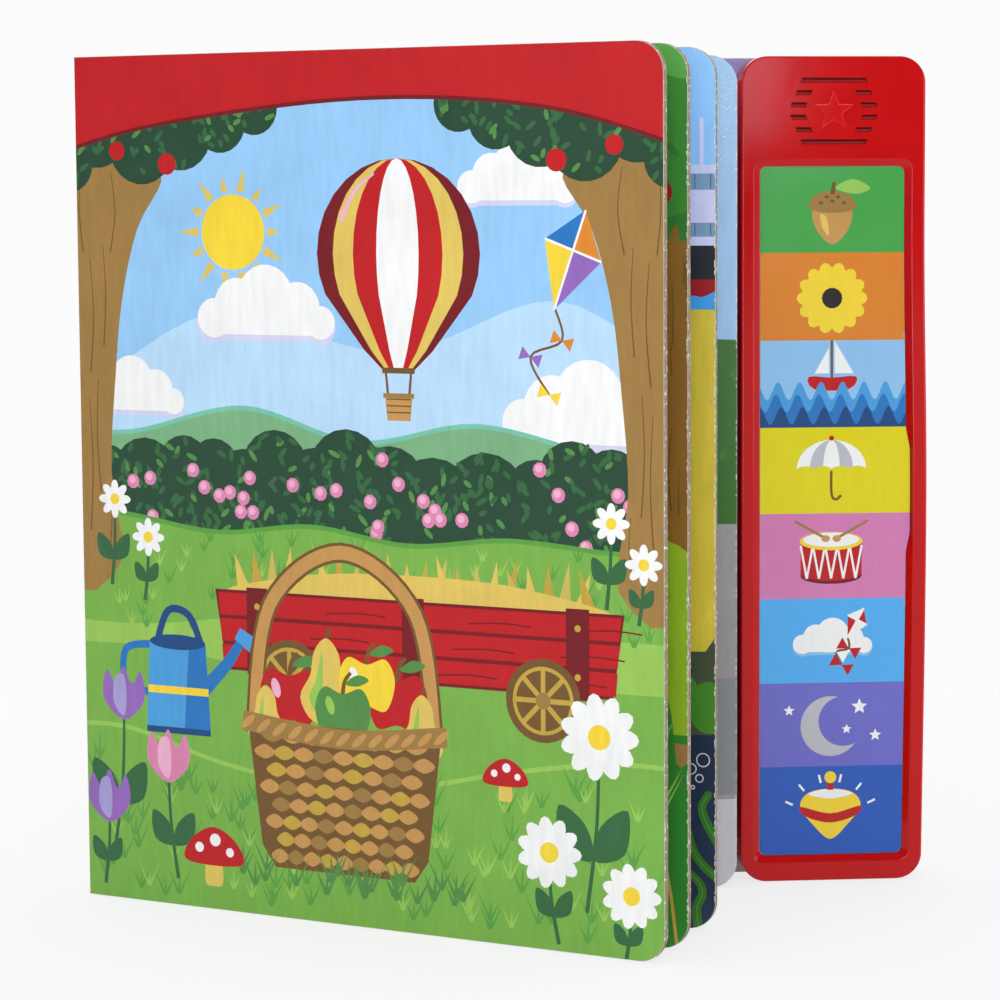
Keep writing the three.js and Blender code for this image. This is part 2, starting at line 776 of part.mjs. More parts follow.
// An end contact: the plate on a cell, an arm into the pocket's corner, and a tab down to the circuit board
function endContactGeometry(cell, slot, front) {
  const back = front + contactThickness;
  const x = (slot.x0 + slot.x1) / 2;
  const z0 = slot.z0 + gap;
  const z1 = slot.z1 - gap;
  const armX0 = Math.min(x - contactThickness / 2, stripMiddle);
  const armX1 = Math.max(x + contactThickness / 2, stripMiddle);
  const arm = block(armX0, armX1, front, back, z0, z1);
  const tab = tabGeometry(slot, circuitBack + solderGap, back);
  return surface(join([contactPlate(cell, cell, front), arm, tab].map(solid)));
}

// Button cell about its own middle, its wide face at the back
function cellGeometry() {
  const cap = 0.75 * cellRadius;
  const rim = 0.3;
  return turned([
    [0, 0],
    [cap, 0],
    [cap, rim],
    [cellRadius - rim, rim],
    [cellRadius, 2 * rim],
    [cellRadius, cellThickness],
    [0, cellThickness],
  ]);
}

// Cross-headed screw along Y, its head's outer face at Y 0 and its point in front
function screwGeometry() {
  const body = solid(turned([
    [0, -screwHeadHeight - screwLength],
    [screwRadius / 4, -screwHeadHeight - screwLength],
    [screwRadius, -screwHeadHeight - screwLength + 1.5 * screwRadius],
    [screwRadius, -screwHeadHeight],
    [screwHeadRadius, -screwHeadHeight],
    [screwHeadRadius, -screwHeadHeight / 3],
    [screwHeadRadius - screwHeadHeight / 3, 0],
    [0, 0],
  ], smallSides));
  const w = crossWidth / 2;
  const l = crossLength / 2;
  const depth = screwHeadHeight / 2;
  return surface(cut(body, [block(-w, w, -depth, 1, -l, l), block(-l, l, -depth, 1, -w, w)].map(solid)));
}

// Lead from the speaker's back to the circuit board's upper end
function leadGeometry(side) {
  const x = stripMiddle + side * leadSpread;
  const start = speakerFront + basketDepth + gap + leadRadius;
  const z0 = speakerZ - magnetRadius - 2 * leadRadius - gap;
  const top = circuitTop;
  const end = circuitBack + leadRadius + gap;
  const path = new THREE.CatmullRomCurve3([
    new THREE.Vector3(x, start, z0),
    new THREE.Vector3(x, end + leadRadius, z0 - leadDrop / 6),
    new THREE.Vector3(x, end + 2 * leadRadius, (z0 + top) / 2),
    new THREE.Vector3(x, end + leadRadius, top - leadDrop / 6),
    new THREE.Vector3(x, end, top - leadDrop / 2),
  ]);
  const section = new THREE.Shape();
  section.absarc(0, 0, leadRadius, 0, 2 * Math.PI);
  const settings = { extrudePath: path, steps: leadSteps, curveSegments: 4, bevelEnabled: false };
  return new THREE.ExtrudeGeometry(section, settings);
}

// Assembly
const book = new THREE.Group();

function place(parent, name, geometry, look, position = [0, 0, 0]) {
  const mesh = new THREE.Mesh(geometry, material(look));
  mesh.name = name;
  mesh.position.set(...position);
  parent.add(mesh);
  return mesh;
}

const cover = place(book, 'front_cover', leafGeometry(coverWidth), 'cover', [...coverFold, 0]);
cover.rotation.z = -coverSpread * degrees;
place(book, 'pages', pagesGeometry(), 'leaf');
place(book, 'back_cover', backCoverGeometry(), 'rearBoard');

const strip = new THREE.Group();
book.add(strip);
place(strip, 'front_casing', frontCasingGeometry(), 'red');
place(strip, 'rear_casing', rearCasingGeometry(), 'red');
place(strip, 'button_film', filmGeometry(), 'film');
place(strip, 'key_frame', keyFrameGeometry(), 'white');
place(strip, 'contact_sheet', contactSheetGeometry(), 'grey');
place(strip, 'circuit_board', circuitGeometry(), 'circuit');
const chipPlace = [windowMiddleX, circuitBack + solderGap, boxZ1 + chipLift];
place(strip, 'chip_cover', chipGeometry(), 'epoxy', chipPlace);

const keyShape = keyGeometry();
keyHeights.forEach((z, i) => {
  place(strip, `key_${i + 1}`, keyShape, 'white', [windowMiddleX, keyFront, z]);
});

const speaker = new THREE.Group();
speaker.position.set(stripMiddle, speakerFront, speakerZ);
strip.add(speaker);
place(speaker, 'speaker_gasket', gasketGeometry(), 'foam', [0, -gap - gasketThickness, 0]);
place(speaker, 'speaker_basket', basketGeometry(), 'steel');
place(speaker, 'speaker_cone', coneGeometry(), 'paper');
const magnetShape = new THREE.CylinderGeometry(magnetRadius, magnetRadius, magnetDepth, roundSides);
place(speaker, 'speaker_magnet', magnetShape, 'magnet', [0, basketDepth + solderGap + magnetDepth / 2, 0]);
place(strip, 'speaker_lead_1', leadGeometry(-1), 'lead');
place(strip, 'speaker_lead_2', leadGeometry(1), 'lead');

const cellShape = cellGeometry();
cellHeights.forEach((z, i) => {
  place(strip, `cell_${i + 1}`, cellShape, 'steel', [stripMiddle, cellFront, z]);
});
const [slotLow, slotHigh] = contactSlots();
place(strip, 'contact_minus', endContactGeometry(0, slotLow, lowContactFront), 'nickel');
place(strip, 'contact_bridge_floor', contactPlate(1, 2, lowContactFront), 'nickel');
place(strip, 'contact_bridge_door', contactPlate(0, 1, highContactFront), 'nickel');
place(strip, 'contact_plus', endContactGeometry(cellCount - 1, slotHigh, highContactFront), 'nickel');
place(strip, 'battery_door', doorGeometry(), 'red');

const screwShape = screwGeometry();
place(strip, 'door_screw', screwShape, 'steel', [stripMiddle, doorBack, doorScrewZ]);
bossPlaces.forEach(([x, z], i) => {
  place(strip, `casing_screw_${i + 1}`, screwShape, 'steel', [x, rearBack, z]);
});

// The origin goes to the middle of the foot: half way from the spine to where the strip's right side bows
// most, and half way from the cover's fore-edge to the rear board's back
const coverFore = coverFold[1] - coverWidth * Math.sin(coverSpread * degrees);
book.position.set(-(coverFold[0] + stripWidth + sideBow) / 2, -(coverFore + leafThickness) / 2, 0);

export default book;
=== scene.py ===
# Looks of the sound book: printed card leaves, a glossy red sound strip and its printed film.
# Blender metres in the CAD's frame; the lengths below are millimetres and turn into metres in one place.
import json
import math
import random

import bmesh
import bpy
import numpy as np
from mathutils import Matrix, Vector
from mathutils.geometry import delaunay_2d_cdt

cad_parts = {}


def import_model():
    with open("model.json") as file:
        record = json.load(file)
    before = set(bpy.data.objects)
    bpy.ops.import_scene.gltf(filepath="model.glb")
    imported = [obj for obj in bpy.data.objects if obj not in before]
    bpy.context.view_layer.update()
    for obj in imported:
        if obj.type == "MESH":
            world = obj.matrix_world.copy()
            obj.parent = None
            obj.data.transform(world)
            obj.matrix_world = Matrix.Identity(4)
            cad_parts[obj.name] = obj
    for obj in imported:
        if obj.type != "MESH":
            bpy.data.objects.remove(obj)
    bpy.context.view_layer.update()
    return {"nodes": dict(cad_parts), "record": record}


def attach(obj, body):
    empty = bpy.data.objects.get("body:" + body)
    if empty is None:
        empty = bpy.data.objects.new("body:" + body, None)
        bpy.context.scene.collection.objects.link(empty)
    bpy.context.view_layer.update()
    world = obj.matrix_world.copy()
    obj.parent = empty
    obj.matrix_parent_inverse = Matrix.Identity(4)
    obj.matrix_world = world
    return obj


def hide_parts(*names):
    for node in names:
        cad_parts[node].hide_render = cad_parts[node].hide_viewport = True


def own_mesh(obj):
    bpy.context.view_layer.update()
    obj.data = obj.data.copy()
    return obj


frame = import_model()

MM = 0.001

# Sizes shared with the CAD, in millimetres
HEIGHT = 254.0
COVER_WIDTH = 196.3
LEAF = 2.2
SPINE = 1.1
GAP = 0.3
TOP_RADIUS = 8.5
BOTTOM_RADIUS = 8.0
ROOT_RADIUS = 1.0
COVER_SPREAD = math.radians(33)
LEAN = math.radians(18.5)
LEAF_SPREADS = [math.radians(a) for a in (28.7, 21.6, 5.5)]
STRIP_WIDTH = 56.5
STRIP_DEPTH = 14.8
STRIP_OFFSET = 1.0
STRIP_RADIUS = 8.0
EDGE_RADIUS = 0.7
FACE = 2.0
WALL = 1.8
INSET = 0.4
WINDOW = (5.75, 7.9, 50.4, 220.8)
WINDOW_RADIUS = 2.0
BEVEL = 1.9
RECESS = 1.3
SWELL = (1.25, 101.3, 141.5, 8.0)
BOW = (1.15, 117.0, 90.0, 150.0)
NICKS = (86.4, 169.0)
STAR_Z = HEIGHT - 16.55
STAR_RADIUS = 6.0
STAR_WAIST = 0.42
STAR_RISE = 0.16
ROW_PITCH = 3.72
SLOT = 1.4
SLOT_END = 13.9
SLOT_END_SLOPE = 0.42
SLOT_START = 9.25
SLOT_START_SLOPE = 0.43
DISH = 0.008
GROOVE = 0.7
EDGE_STEPS = 6

# A slot's mouth, lip, foot and through slit: lower and upper share of its height, and how far it grows
SLOT_SIZES = ((-0.5, 0.5, 0.1), (-0.5, 0.5, 0.0), (-0.42, 0.46, -0.05), (-0.02, 0.5, -0.18))

# Film
FILM_GAP = 0.2
CROWN = 0.2
CROWN_HALF = (21.2, 12.2)
NICK_RADIUS = 1.45
NICK_OFFSET = 0.95
FIRST_KEY = WINDOW[3] - 12.6
KEY_PITCH = (WINDOW[3] - WINDOW[1] - 27.55) / 7
BOX_HALF = (7.6, 24.1)
BOX_Z = 76.0
DOOR_GAP = 0.5

# Skins lie this far proud of the card, and their cut edge stands this far in
SKIN = 0.03
CUT = 0.12


# Places
def spine_point(s, inwards=0.0):
    """A place on the leaning spine's outer face, before the shift to the frame's origin."""
    x = -(COVER_WIDTH + STRIP_OFFSET) - s * math.sin(LEAN) + inwards * math.cos(LEAN)
    return x, -s * math.cos(LEAN) - inwards * math.sin(LEAN)


LEAF_STEPS = [GAP + (3 - i) * LEAF for i in range(3)]
COVER_STEP = LEAF_STEPS[0] + GAP + LEAF
FOLD = spine_point(COVER_STEP)
ORIGIN = (-(FOLD[0] + STRIP_WIDTH + BOW[0]) / 2, -(FOLD[1] - COVER_WIDTH * math.sin(COVER_SPREAD) + LEAF) / 2)
LEAF_WIDTH = COVER_WIDTH - SPINE - GAP


def turned(point, angle):
    """Matrix from a leaf's own frame, X along the leaf and Z up, to the row frame."""
    place = Vector(((point[0] + ORIGIN[0]) * MM, (point[1] + ORIGIN[1]) * MM, 0))
    return Matrix.Translation(place) @ Matrix.Rotation(-angle, 4, "Z")


def behind(matrix, width, depth):
    """The frame of a card's back: X from its far edge, facing the other way."""
    return matrix @ Matrix.Translation((width * MM, depth * MM, 0)) @ Matrix.Rotation(math.pi, 4, "Z")


def leaf_root(i):
    tilt = LEAF * math.sin(LEAN - LEAF_SPREADS[i])
    return spine_point(LEAF_STEPS[i], SPINE + GAP + max(0.0, tilt))


COVER_FRAME = turned(FOLD, COVER_SPREAD)
LEAF_FRAMES = [turned(leaf_root(i), LEAF_SPREADS[i]) for i in range(3)]
STRIP_FRAME = turned((0.0, 0.0), 0.0)


# Colour
def linear(rgb):
    return tuple(c / 12.92 if c <= 0.04045 else ((c + 0.055) / 1.055) ** 2.4 for c in (v / 255 for v in rgb))


INKS = {
    "red": (192, 24, 30), "dark_red": (118, 18, 28), "sky": (152, 203, 244), "pale_sky": (186, 221, 248),
    "white": (246, 246, 244), "lilac": (214, 214, 240), "leaf_dark": (36, 72, 50), "leaf": (52, 104, 62),
    "leaf_light": (84, 142, 70), "grass": (122, 178, 74), "grass_light": (152, 198, 88),
    "grass_dark": (92, 160, 66), "bark": (160, 124, 66), "bark_dark": (116, 84, 42), "tan": (200, 150, 84),
    "straw": (226, 196, 96), "straw_dark": (198, 164, 66), "yellow": (246, 214, 58),
    "orange": (226, 138, 44), "pink": (222, 134, 176), "blush": (240, 178, 204), "purple": (150, 104, 186),
    # The navy ink of the board's gap is painted shade, not print.
    "blue": (40, 118, 190), "blue_light": (74, 158, 218), "navy": (26, 72, 128), "night": (36, 44, 62),
    "sand": (206, 184, 92), "grey_light": (190, 190, 196), "lavender": (168, 158, 212),
    "field_green": (72, 164, 74), "field_orange": (222, 132, 44), "field_sky": (146, 196, 236),
    "field_yellow": (227, 213, 22), "field_pink": (214, 128, 180), "field_blue": (86, 176, 242),
    "field_purple": (112, 110, 200), "field_deep": (44, 92, 186), "ink": (44, 38, 44),
    "mint": (120, 196, 170), "hill": (124, 178, 130), "lime": (148, 186, 36), "brown": (142, 102, 36),
    "brown_dark": (112, 78, 30), "crown_light": (92, 172, 70), "crown": (63, 141, 50),
    "crown_dark": (54, 124, 46), "pine": (50, 134, 42), "pane": (128, 160, 184), "hull": (42, 42, 44),
    "keel": (164, 28, 32), "wet_blue": (70, 166, 232), "beach": (223, 196, 66), "weed": (36, 48, 78),
    "weed_light": (54, 116, 38), "bush": (48, 108, 22), "path": (164, 157, 160),
    "path_light": (213, 208, 217), "path_dark": (143, 145, 149), "rock": (74, 82, 64),
    "moss": (72, 138, 44), "far_sky": (164, 202, 234), "pane_dark": (66, 100, 128),
}
INKS = {name: linear(rgb) for name, rgb in INKS.items()}


# Plane shapes, as lists of points in millimetres
def rectangle(x0, y0, x1, y1):
    return [(x0, y0), (x1, y0), (x1, y1), (x0, y1)]


def oval(x, y, a, b=None, turn=0.0, n=22, start=0.0, sweep=2 * math.pi):
    """An oval about a point, or a part of one."""
    b = a if b is None else b
    steps = n if abs(sweep - 2 * math.pi) < 1e-6 else n + 1
    c, s = math.cos(turn), math.sin(turn)
    points = []
    for i in range(steps):
        t = start + sweep * i / n
        px, py = a * math.cos(t), b * math.sin(t)
        points.append((x + px * c - py * s, y + px * s + py * c))
    return points


def between(p0, p1, p2, p3, t):
    """A value on the smooth line from p1 to p2."""
    square = 2 * p0 - 5 * p1 + 4 * p2 - p3
    cube = 3 * p1 - p0 - 3 * p2 + p3
    return 0.5 * (2 * p1 + (p2 - p0) * t + square * t * t + cube * t ** 3)


def curve(points, n=5, closed=True):
    """A smooth line through points."""
    out = []
    count = len(points)
    for i in range(count if closed else count - 1):
        around = range(i - 1, i + 3)
        if closed:
            ends = [points[k % count] for k in around]
        else:
            ends = [points[min(max(k, 0), count - 1)] for k in around]
        for j in range(n):
            out.append(tuple(between(*(p[axis] for p in ends), j / n) for axis in (0, 1)))
    if not closed:
        out.append(tuple(points[-1]))
    return out


def ribbon(points, width, end=None, n=5):
    """A band along a smooth line, its width running from width to end."""
    end = width if end is None else end
    line = curve(points, n, closed=False)
    left, right = [], []
    for i, (x, y) in enumerate(line):
        x0, y0 = line[max(i - 1, 0)]
        x1, y1 = line[min(i + 1, len(line) - 1)]
        length = math.hypot(x1 - x0, y1 - y0) or 1.0
        half = (width + (end - width) * i / (len(line) - 1)) / 2
        nx, ny = -(y1 - y0) / length * half, (x1 - x0) / length * half
        left.append((x + nx, y + ny))
        right.append((x - nx, y - ny))
    return left + right[::-1]


def moved(points, x=0.0, y=0.0, scale=1.0, turn=0.0):
    c, s = math.cos(turn) * scale, math.sin(turn) * scale
    return [(x + px * c - py * s, y + px * s + py * c) for px, py in points]


class Art:
    """A picture as plane shapes, each over the ones before it."""

    def __init__(self, seed=1):
        self.shapes = []
        self.random = random.Random(seed)

    def add(self, ink, *shapes):
        for shape in shapes:
            self.shapes.append((ink, shape))

    def put(self, other, x, y, scale=1.0, turn=0.0):
        for ink, shape in other.shapes:
            self.add(ink, moved(shape, x, y, scale, turn))

    def blades(self, ink, count, x0, x1, y0, y1, length, width=1.1):
        """Grass blades in tufts."""
        for _ in range(count):
            x, y = self.random.uniform(x0, x1), self.random.uniform(y0, y1)
            for lean in (-0.5, 0.05, 0.55):
                reach = length * self.random.uniform(0.6, 1.1)
                tip = (x + lean * reach, y + reach)
                self.add(ink, [(x - width / 2, y), (x + width / 2, y), tip])

    def dabs(self, inks, count, x0, x1, y0, y1, size, inside=None):
        """Leaf-shaped brush marks."""
        for _ in range(count):
            x, y = self.random.uniform(x0, x1), self.random.uniform(y0, y1)
            if inside and not inside(x, y):
                continue
            turn = self.random.uniform(-1.2, 1.2) + math.pi / 2
            ink = inks[self.random.randrange(len(inks))]
            self.add(ink, oval(x, y, size * self.random.uniform(0.7, 1.2), size * 0.42, turn, 8))

    def leafy(self, inks, count, x, y, r, size, margin):
        """Brush marks inside a round lobe."""
        self.dabs(inks, count, x - r, x + r, y - r, y + r, size,
                  lambda px, py: math.hypot(px - x, py - y) < r - margin)


# Motifs about their own middle or foot
def cloud(shade="lilac"):
    a = Art()
    lobes = [(-17, 1, 6), (-9, 5, 8), (1, 7, 10), (12, 4, 8), (20, 0, 5)]
    a.add(shade, *(oval(x, y - 1.4, r) for x, y, r in lobes))
    a.add(shade, rectangle(-20, -5.6, 22, 0))
    a.add("white", *(oval(x, y, r * 0.97) for x, y, r in lobes))
    a.add("white", rectangle(-19, -3.8, 21, 1))
    return a


def flower(petals, middle, count=8, r=5.0):
    a = Art()
    petal = oval(r * 0.62, 0, r * 0.42, r * 0.24, n=12)
    a.add(petals, *(moved(petal, turn=2 * math.pi * i / count) for i in range(count)))
    a.add(middle, oval(0, 0, r * 0.3, n=14))
    return a


def daisy(count, r):
    return flower("white", "yellow", count, r)


def stalk(a, x, y, h, bend):
    """A stem with a leaf at each side."""
    a.add("leaf", ribbon([(x - bend, y), (x - bend * 0.2, y + h * 0.5), (x, y + h)], 1.3, 0.9))
    for side in (-1, 1):
        base = (x - bend * 0.5, y + h * 0.3)
        tip = (base[0] + side * h * 0.22, base[1] + h * 0.3)
        mid = (base[0] + side * h * 0.2, base[1] + h * 0.05)
        a.add("leaf", curve([base, mid, tip, (base[0] + side * h * 0.05, base[1] + h * 0.2)], 4))


def tulip(ink="purple", light="lavender"):
    a = Art()
    a.add(ink, curve([(-5, 8), (-6, 1), (0, -4), (6, 1), (5, 8), (2.4, 4.6), (0, 9), (-2.4, 4.6)], 4))
    a.add(light, curve([(-2.6, 6), (-3, 0), (0, -3), (0.8, 2), (0, 7)], 4))
    return a


def apple(ink="red", light="blush"):
    a = Art()
    a.add("bark_dark", ribbon([(0, 5), (0.6, 8), (2.2, 10)], 1.1, 0.8))
    a.add(ink, curve([(0, 5), (5, 6.4), (7.4, 1.4), (5, -5.2), (0, -4.4),
                      (-5, -5.2), (-7.4, 1.4), (-5, 6.4)], 5))
    a.add(light, oval(-3.4, 2.2, 1.1, 2.2, 0.3, 12))
    a.add("leaf_light", curve([(0.8, 7.4), (4, 9.6), (7, 8.6), (4, 7)], 4))
    return a


def pear():
    a = Art()
    a.add("bark_dark", ribbon([(0, 8), (0.8, 11)], 1.0))
    a.add("straw", curve([(0, 9), (3, 6), (4, 1), (6.6, -4), (3.4, -9),
                          (-3.4, -9), (-6.6, -4), (-4, 1), (-3, 6)], 4))
    a.add("grass_light", curve([(-1, 6), (-2.6, 0), (-4.4, -4), (-2.2, -7), (-1, -1)], 4))
    return a


def balloon(r):
    """Hot-air balloon about the middle of its envelope."""
    a = Art()

    def envelope(k):
        side = [(k * r * math.sin(t), r * math.cos(t)) for t in (i * math.pi / 14 for i in range(10))]
        foot = [(k * r * 0.42, -r * 1.02), (k * r * 0.2, -r * 1.22)]
        return side + foot + [(-x, y) for x, y in (side + foot)[::-1] if abs(x) > 1e-6]

    for x in (-0.16, 0.16):
        a.add("bark_dark", ribbon([(x * r, -r * 1.2), (x * r * 0.8, -r * 1.52)], 0.8))
    for ink, k in (("dark_red", 1.0), ("straw", 0.8), ("red", 0.55), ("white", 0.26)):
        a.add(ink, envelope(k))
    a.add("bark_dark", rectangle(-r * 0.2, -r * 1.26, r * 0.2, -r * 1.2))
    brim, foot = r * 0.17, r * 0.14
    a.add("tan", [(-brim, -r * 1.5), (brim, -r * 1.5), (foot, -r * 1.76), (-foot, -r * 1.76)])
    for i in range(3):
        y = -r * (1.54 + 0.07 * i)
        a.add("bark_dark", rectangle(-r * 0.15, y, r * 0.15, y + r * 0.015))
    a.add("bark", rectangle(-r * 0.19, -r * 1.52, r * 0.19, -r * 1.47))
    a.add("blush", ribbon([(-r * 0.7, r * 0.35), (-r * 0.52, r * 0.66), (-r * 0.28, r * 0.84)], 1.6, 0.6))
    return a


def kite(size, inks=("orange", "purple", "yellow", "blue")):
    a = Art()
    half, level = size * 0.72, 0.1 * size
    top, right, foot, left = (0, size), (half, level), (0, -size * 1.25), (-half, level)
    tail = [(0, -size * 1.2), (size * 0.4, -size * 1.8), (-size * 0.2, -size * 2.4),
            (size * 0.5, -size * 3.0)]
    a.add("bark_dark", ribbon(tail, 0.7))
    for ink, (x, y) in zip(inks, tail[1:]):
        for side in (-1, 1):
            a.add(ink, [(x, y), (x + side * 3.4, y + 2), (x + side * 3.4, y - 2)])
    for ink, pair in zip(inks, ((top, right), (right, foot), (foot, left), (left, top))):
        a.add(ink, [(0, level), *pair])
    a.add("white", ribbon([top, foot], 0.7), ribbon([left, right], 0.7))
    return a


def sun(r=11.0):
    a = Art()
    for i in range(14):
        t = 2 * math.pi * i / 14
        reach = r * (1.75 if i % 2 else 1.5)
        a.add("straw", moved([(r * 1.1, -r * 0.13), (reach, 0), (r * 1.1, r * 0.13)], turn=t))
    a.add("yellow", oval(0, 0, r, n=30))
    return a


def mushroom():
    a = Art()
    a.add("straw", curve([(-2.4, 0), (-1.8, 6), (1.8, 6), (2.4, 0), (0, -0.8)], 4))
    a.add("red", curve([(-8, 5), (-6, 10), (0, 13), (6, 10), (8, 5), (0, 4)], 5))
    for x, y, r in ((-4, 8, 1.2), (0.4, 10, 1.5), (4.4, 7.4, 1.1)):
        a.add("white", oval(x, y, r, n=12))
    return a


def watering_can():
    a = Art()
    a.add("blue", ribbon([(9, 4), (17, 12), (22, 19)], 4.4, 2.6))
    a.add("blue_light", [(19.6, 19.2), (24.6, 15.6), (25.8, 20.2), (21.4, 22.4)])
    a.add("blue", ribbon([(-9, 16), (-18, 14), (-18, 4), (-9, 2)], 2.2))
    a.add("navy", ribbon([(-7, 17), (-3, 26), (4, 25), (8, 17)], 2.2))
    a.add("blue_light", [(-11, -8), (11, -8), (9.6, 17), (-9.6, 17)])
    a.add("blue", [(2, -8), (11, -8), (9.6, 17), (4, 17)])
    a.add("navy", oval(0, 17, 9.6, 2.2), rectangle(-11, -9.4, 11, -7.6))
    a.add("yellow", rectangle(-10.4, 2, 10.4, 4.2))
    return a


def fruit_basket():
    """A wicker basket of fruit, its foot at 0."""
    a = Art()
    handle = [(-34, 44), (-27, 86), (0, 104), (27, 86), (34, 44)]
    a.add("bark_dark", ribbon(handle, 6.4, n=8))
    a.add("tan", ribbon(handle, 4.4, n=8))
    for fruit, x, y, scale in ((apple(), -20, 56, 1.5), (apple(), 20, 57, 1.5), (pear(), -6, 63, 1.5),
                               (apple("yellow", "white"), 9, 62, 1.4), (pear(), -29, 50, 1.1),
                               (pear(), 29, 50, 1.2), (apple("leaf_light", "grass_light"), 0, 52, 1.4)):
        a.put(fruit, x, y, scale)
    a.add("bark_dark", [(-36, 48), (-31, 8), (-26, 1), (26, 1), (31, 8), (36, 48)])
    count = 9
    for row in range(8):
        y = 2.4 + row * 5.6
        half = 27 + 8.2 * (y / 46)
        step = 2 * half / count
        for i in range(count):
            x = -half + (i + 0.5) * step + (step / 2 if row % 2 else 0)
            if x + step * 0.6 > half + 2:
                continue
            ink = ("tan", "straw_dark", "tan", "bark")[(i * 3 + row * 5) % 4]
            reach = step * 0.55
            a.add(ink, curve([(x - reach, y + 2.3), (x, y), (x + reach, y + 2.3), (x, y + 4.8)], 3))
    a.add("bark", ribbon([(-38, 48), (0, 44.5), (38, 48)], 6.4, n=8))
    for i in range(13):
        x = -36 + i * 6
        y = 48 - 3.5 * (1 - (x / 38) ** 2)
        a.add("tan", moved(oval(0, 0, 3.4, 1.2, n=10), x, y, 1, 0.7))
    return a


def cart():
    """A red wooden cart with straw, its wheels on 0."""
    a = Art()
    for i in range(26):
        x = -62 + i * 5
        tip = (x + (i % 5 - 2) * 2.2, 52 + i % 4)
        a.add(("straw", "straw_dark", "sand")[i % 3], [(x - 3, 38), (x + 3, 38), tip])
    a.add("straw", curve([(-66, 38), (-40, 46), (0, 48), (40, 46), (66, 38)], 5))
    a.add("dark_red", [(-70, 14), (70, 14), (74, 40), (-74, 40)])
    for i in range(3):
        y = 15 + i * 8.4
        spread = 70 + y * 0.07
        a.add("red", [(-spread, y), (spread, y), (spread + 0.6, y + 7.2), (-spread - 0.6, y + 7.2)])
        for x in (-44 + i * 6, 8 + i * 6, 46 + i * 6):
            a.add("dark_red", ribbon([(x, y + 2.4), (x + 12, y + 3.2), (x + 22, y + 2.6)], 0.5))
    for x in (-58, 0, 58):
        a.add("dark_red", rectangle(x - 4, 13, x + 4, 41))
        a.add("straw_dark", oval(x, 20, 1.1, n=10), oval(x, 35, 1.1, n=10))
    for x in (-46, 46):
        for ink, r in (("bark_dark", 13), ("straw_dark", 10.6), ("bark_dark", 9.4)):
            a.add(ink, oval(x, 12, r, n=30))
        for k in range(8):
            a.add("straw_dark", moved(rectangle(0, -0.8, 10, 0.8), x, 12, 1, k * math.pi / 4))
        a.add("bark", oval(x, 12, 2.6, n=14))
    return a


def ground(a, width, top, ink, shade, humps):
    """A rolling edge of land across the picture."""
    points = [(-5, top + humps[0])]
    for i, h in enumerate(humps):
        points.append(((i + 0.5) * width / len(humps), top + h))
    points.append((width + 5, top + humps[-1]))
    line = curve(points, 8, closed=False)
    a.add(shade, [(x, y + 1.4) for x, y in line] + [(width + 5, -5), (-5, -5)])
    a.add(ink, line + [(width + 5, -5), (-5, -5)])


def hedge(a, width, top, foot):
    """A leafy hedge with blossoms."""
    x = -4.0
    lobes = []
    while x < width + 8:
        r = a.random.uniform(9, 15)
        lobes.append((x, top - r + a.random.uniform(-4, 4), r))
        x += r * 1.15
    a.add("leaf_dark", *(oval(cx, cy, r, n=20) for cx, cy, r in lobes))
    a.add("leaf_dark", rectangle(-5, foot, width + 5, top - 12))

    def inside(px, py):
        return py < top - 13 or any(math.hypot(px - cx, py - cy) < r - 1 for cx, cy, r in lobes)

    a.dabs(("leaf", "leaf", "leaf", "leaf_light"), 420, 0, width, foot, top + 2, 1.9, inside)
    for _ in range(34):
        bx, by = a.random.uniform(2, width - 2), a.random.uniform(foot + 2, top - 3)
        if inside(bx, by):
            a.add("pink", oval(bx, by, 2.2, n=10))
            a.add("blush", oval(bx - 0.3, by + 0.4, 1.2, n=8))


def side_tree(a, x, side):
    """A trunk at the picture's side with leaves that hang in from above."""
    trunk = [(-6, 104), (14, 103), (11, 130), (13, 158), (16, 182), (22, 203), (31, 217), (26, 222),
             (20, 218), (18, 234), (-6, 234)]
    a.add("bark", [(x + side * px, py) for px, py in curve(trunk, 4)])
    for px, py, rise, sway in ((3, 112, 40, 1.2), (7, 124, 34, -1.0), (4, 160, 34, 1.4), (9, 168, 30, 1.0),
                               (2, 196, 26, -1.2), (12, 196, 24, 2.0), (10, 108, 16, 0.8)):
        a.add("bark_dark", ribbon([(x + side * px, py), (x + side * (px + sway), py + rise / 2),
                                   (x + side * (px + sway * 0.3), py + rise)], 0.5, 0.25))
    lobes = [(8, 232, 11), (24, 228, 12), (38, 231, 11), (52, 234, 9), (64, 238, 8), (-2, 222, 8)]
    a.add("leaf_dark", *(oval(x + side * px, py, r) for px, py, r in lobes))
    for px, py, r in lobes:
        a.leafy(("leaf", "leaf", "leaf_light"), 26, x + side * px, py, r, 1.8, 1.6)
    a.add("red", oval(x + side * 33, 222, 3.2), oval(x + side * 15, 226, 2.8))


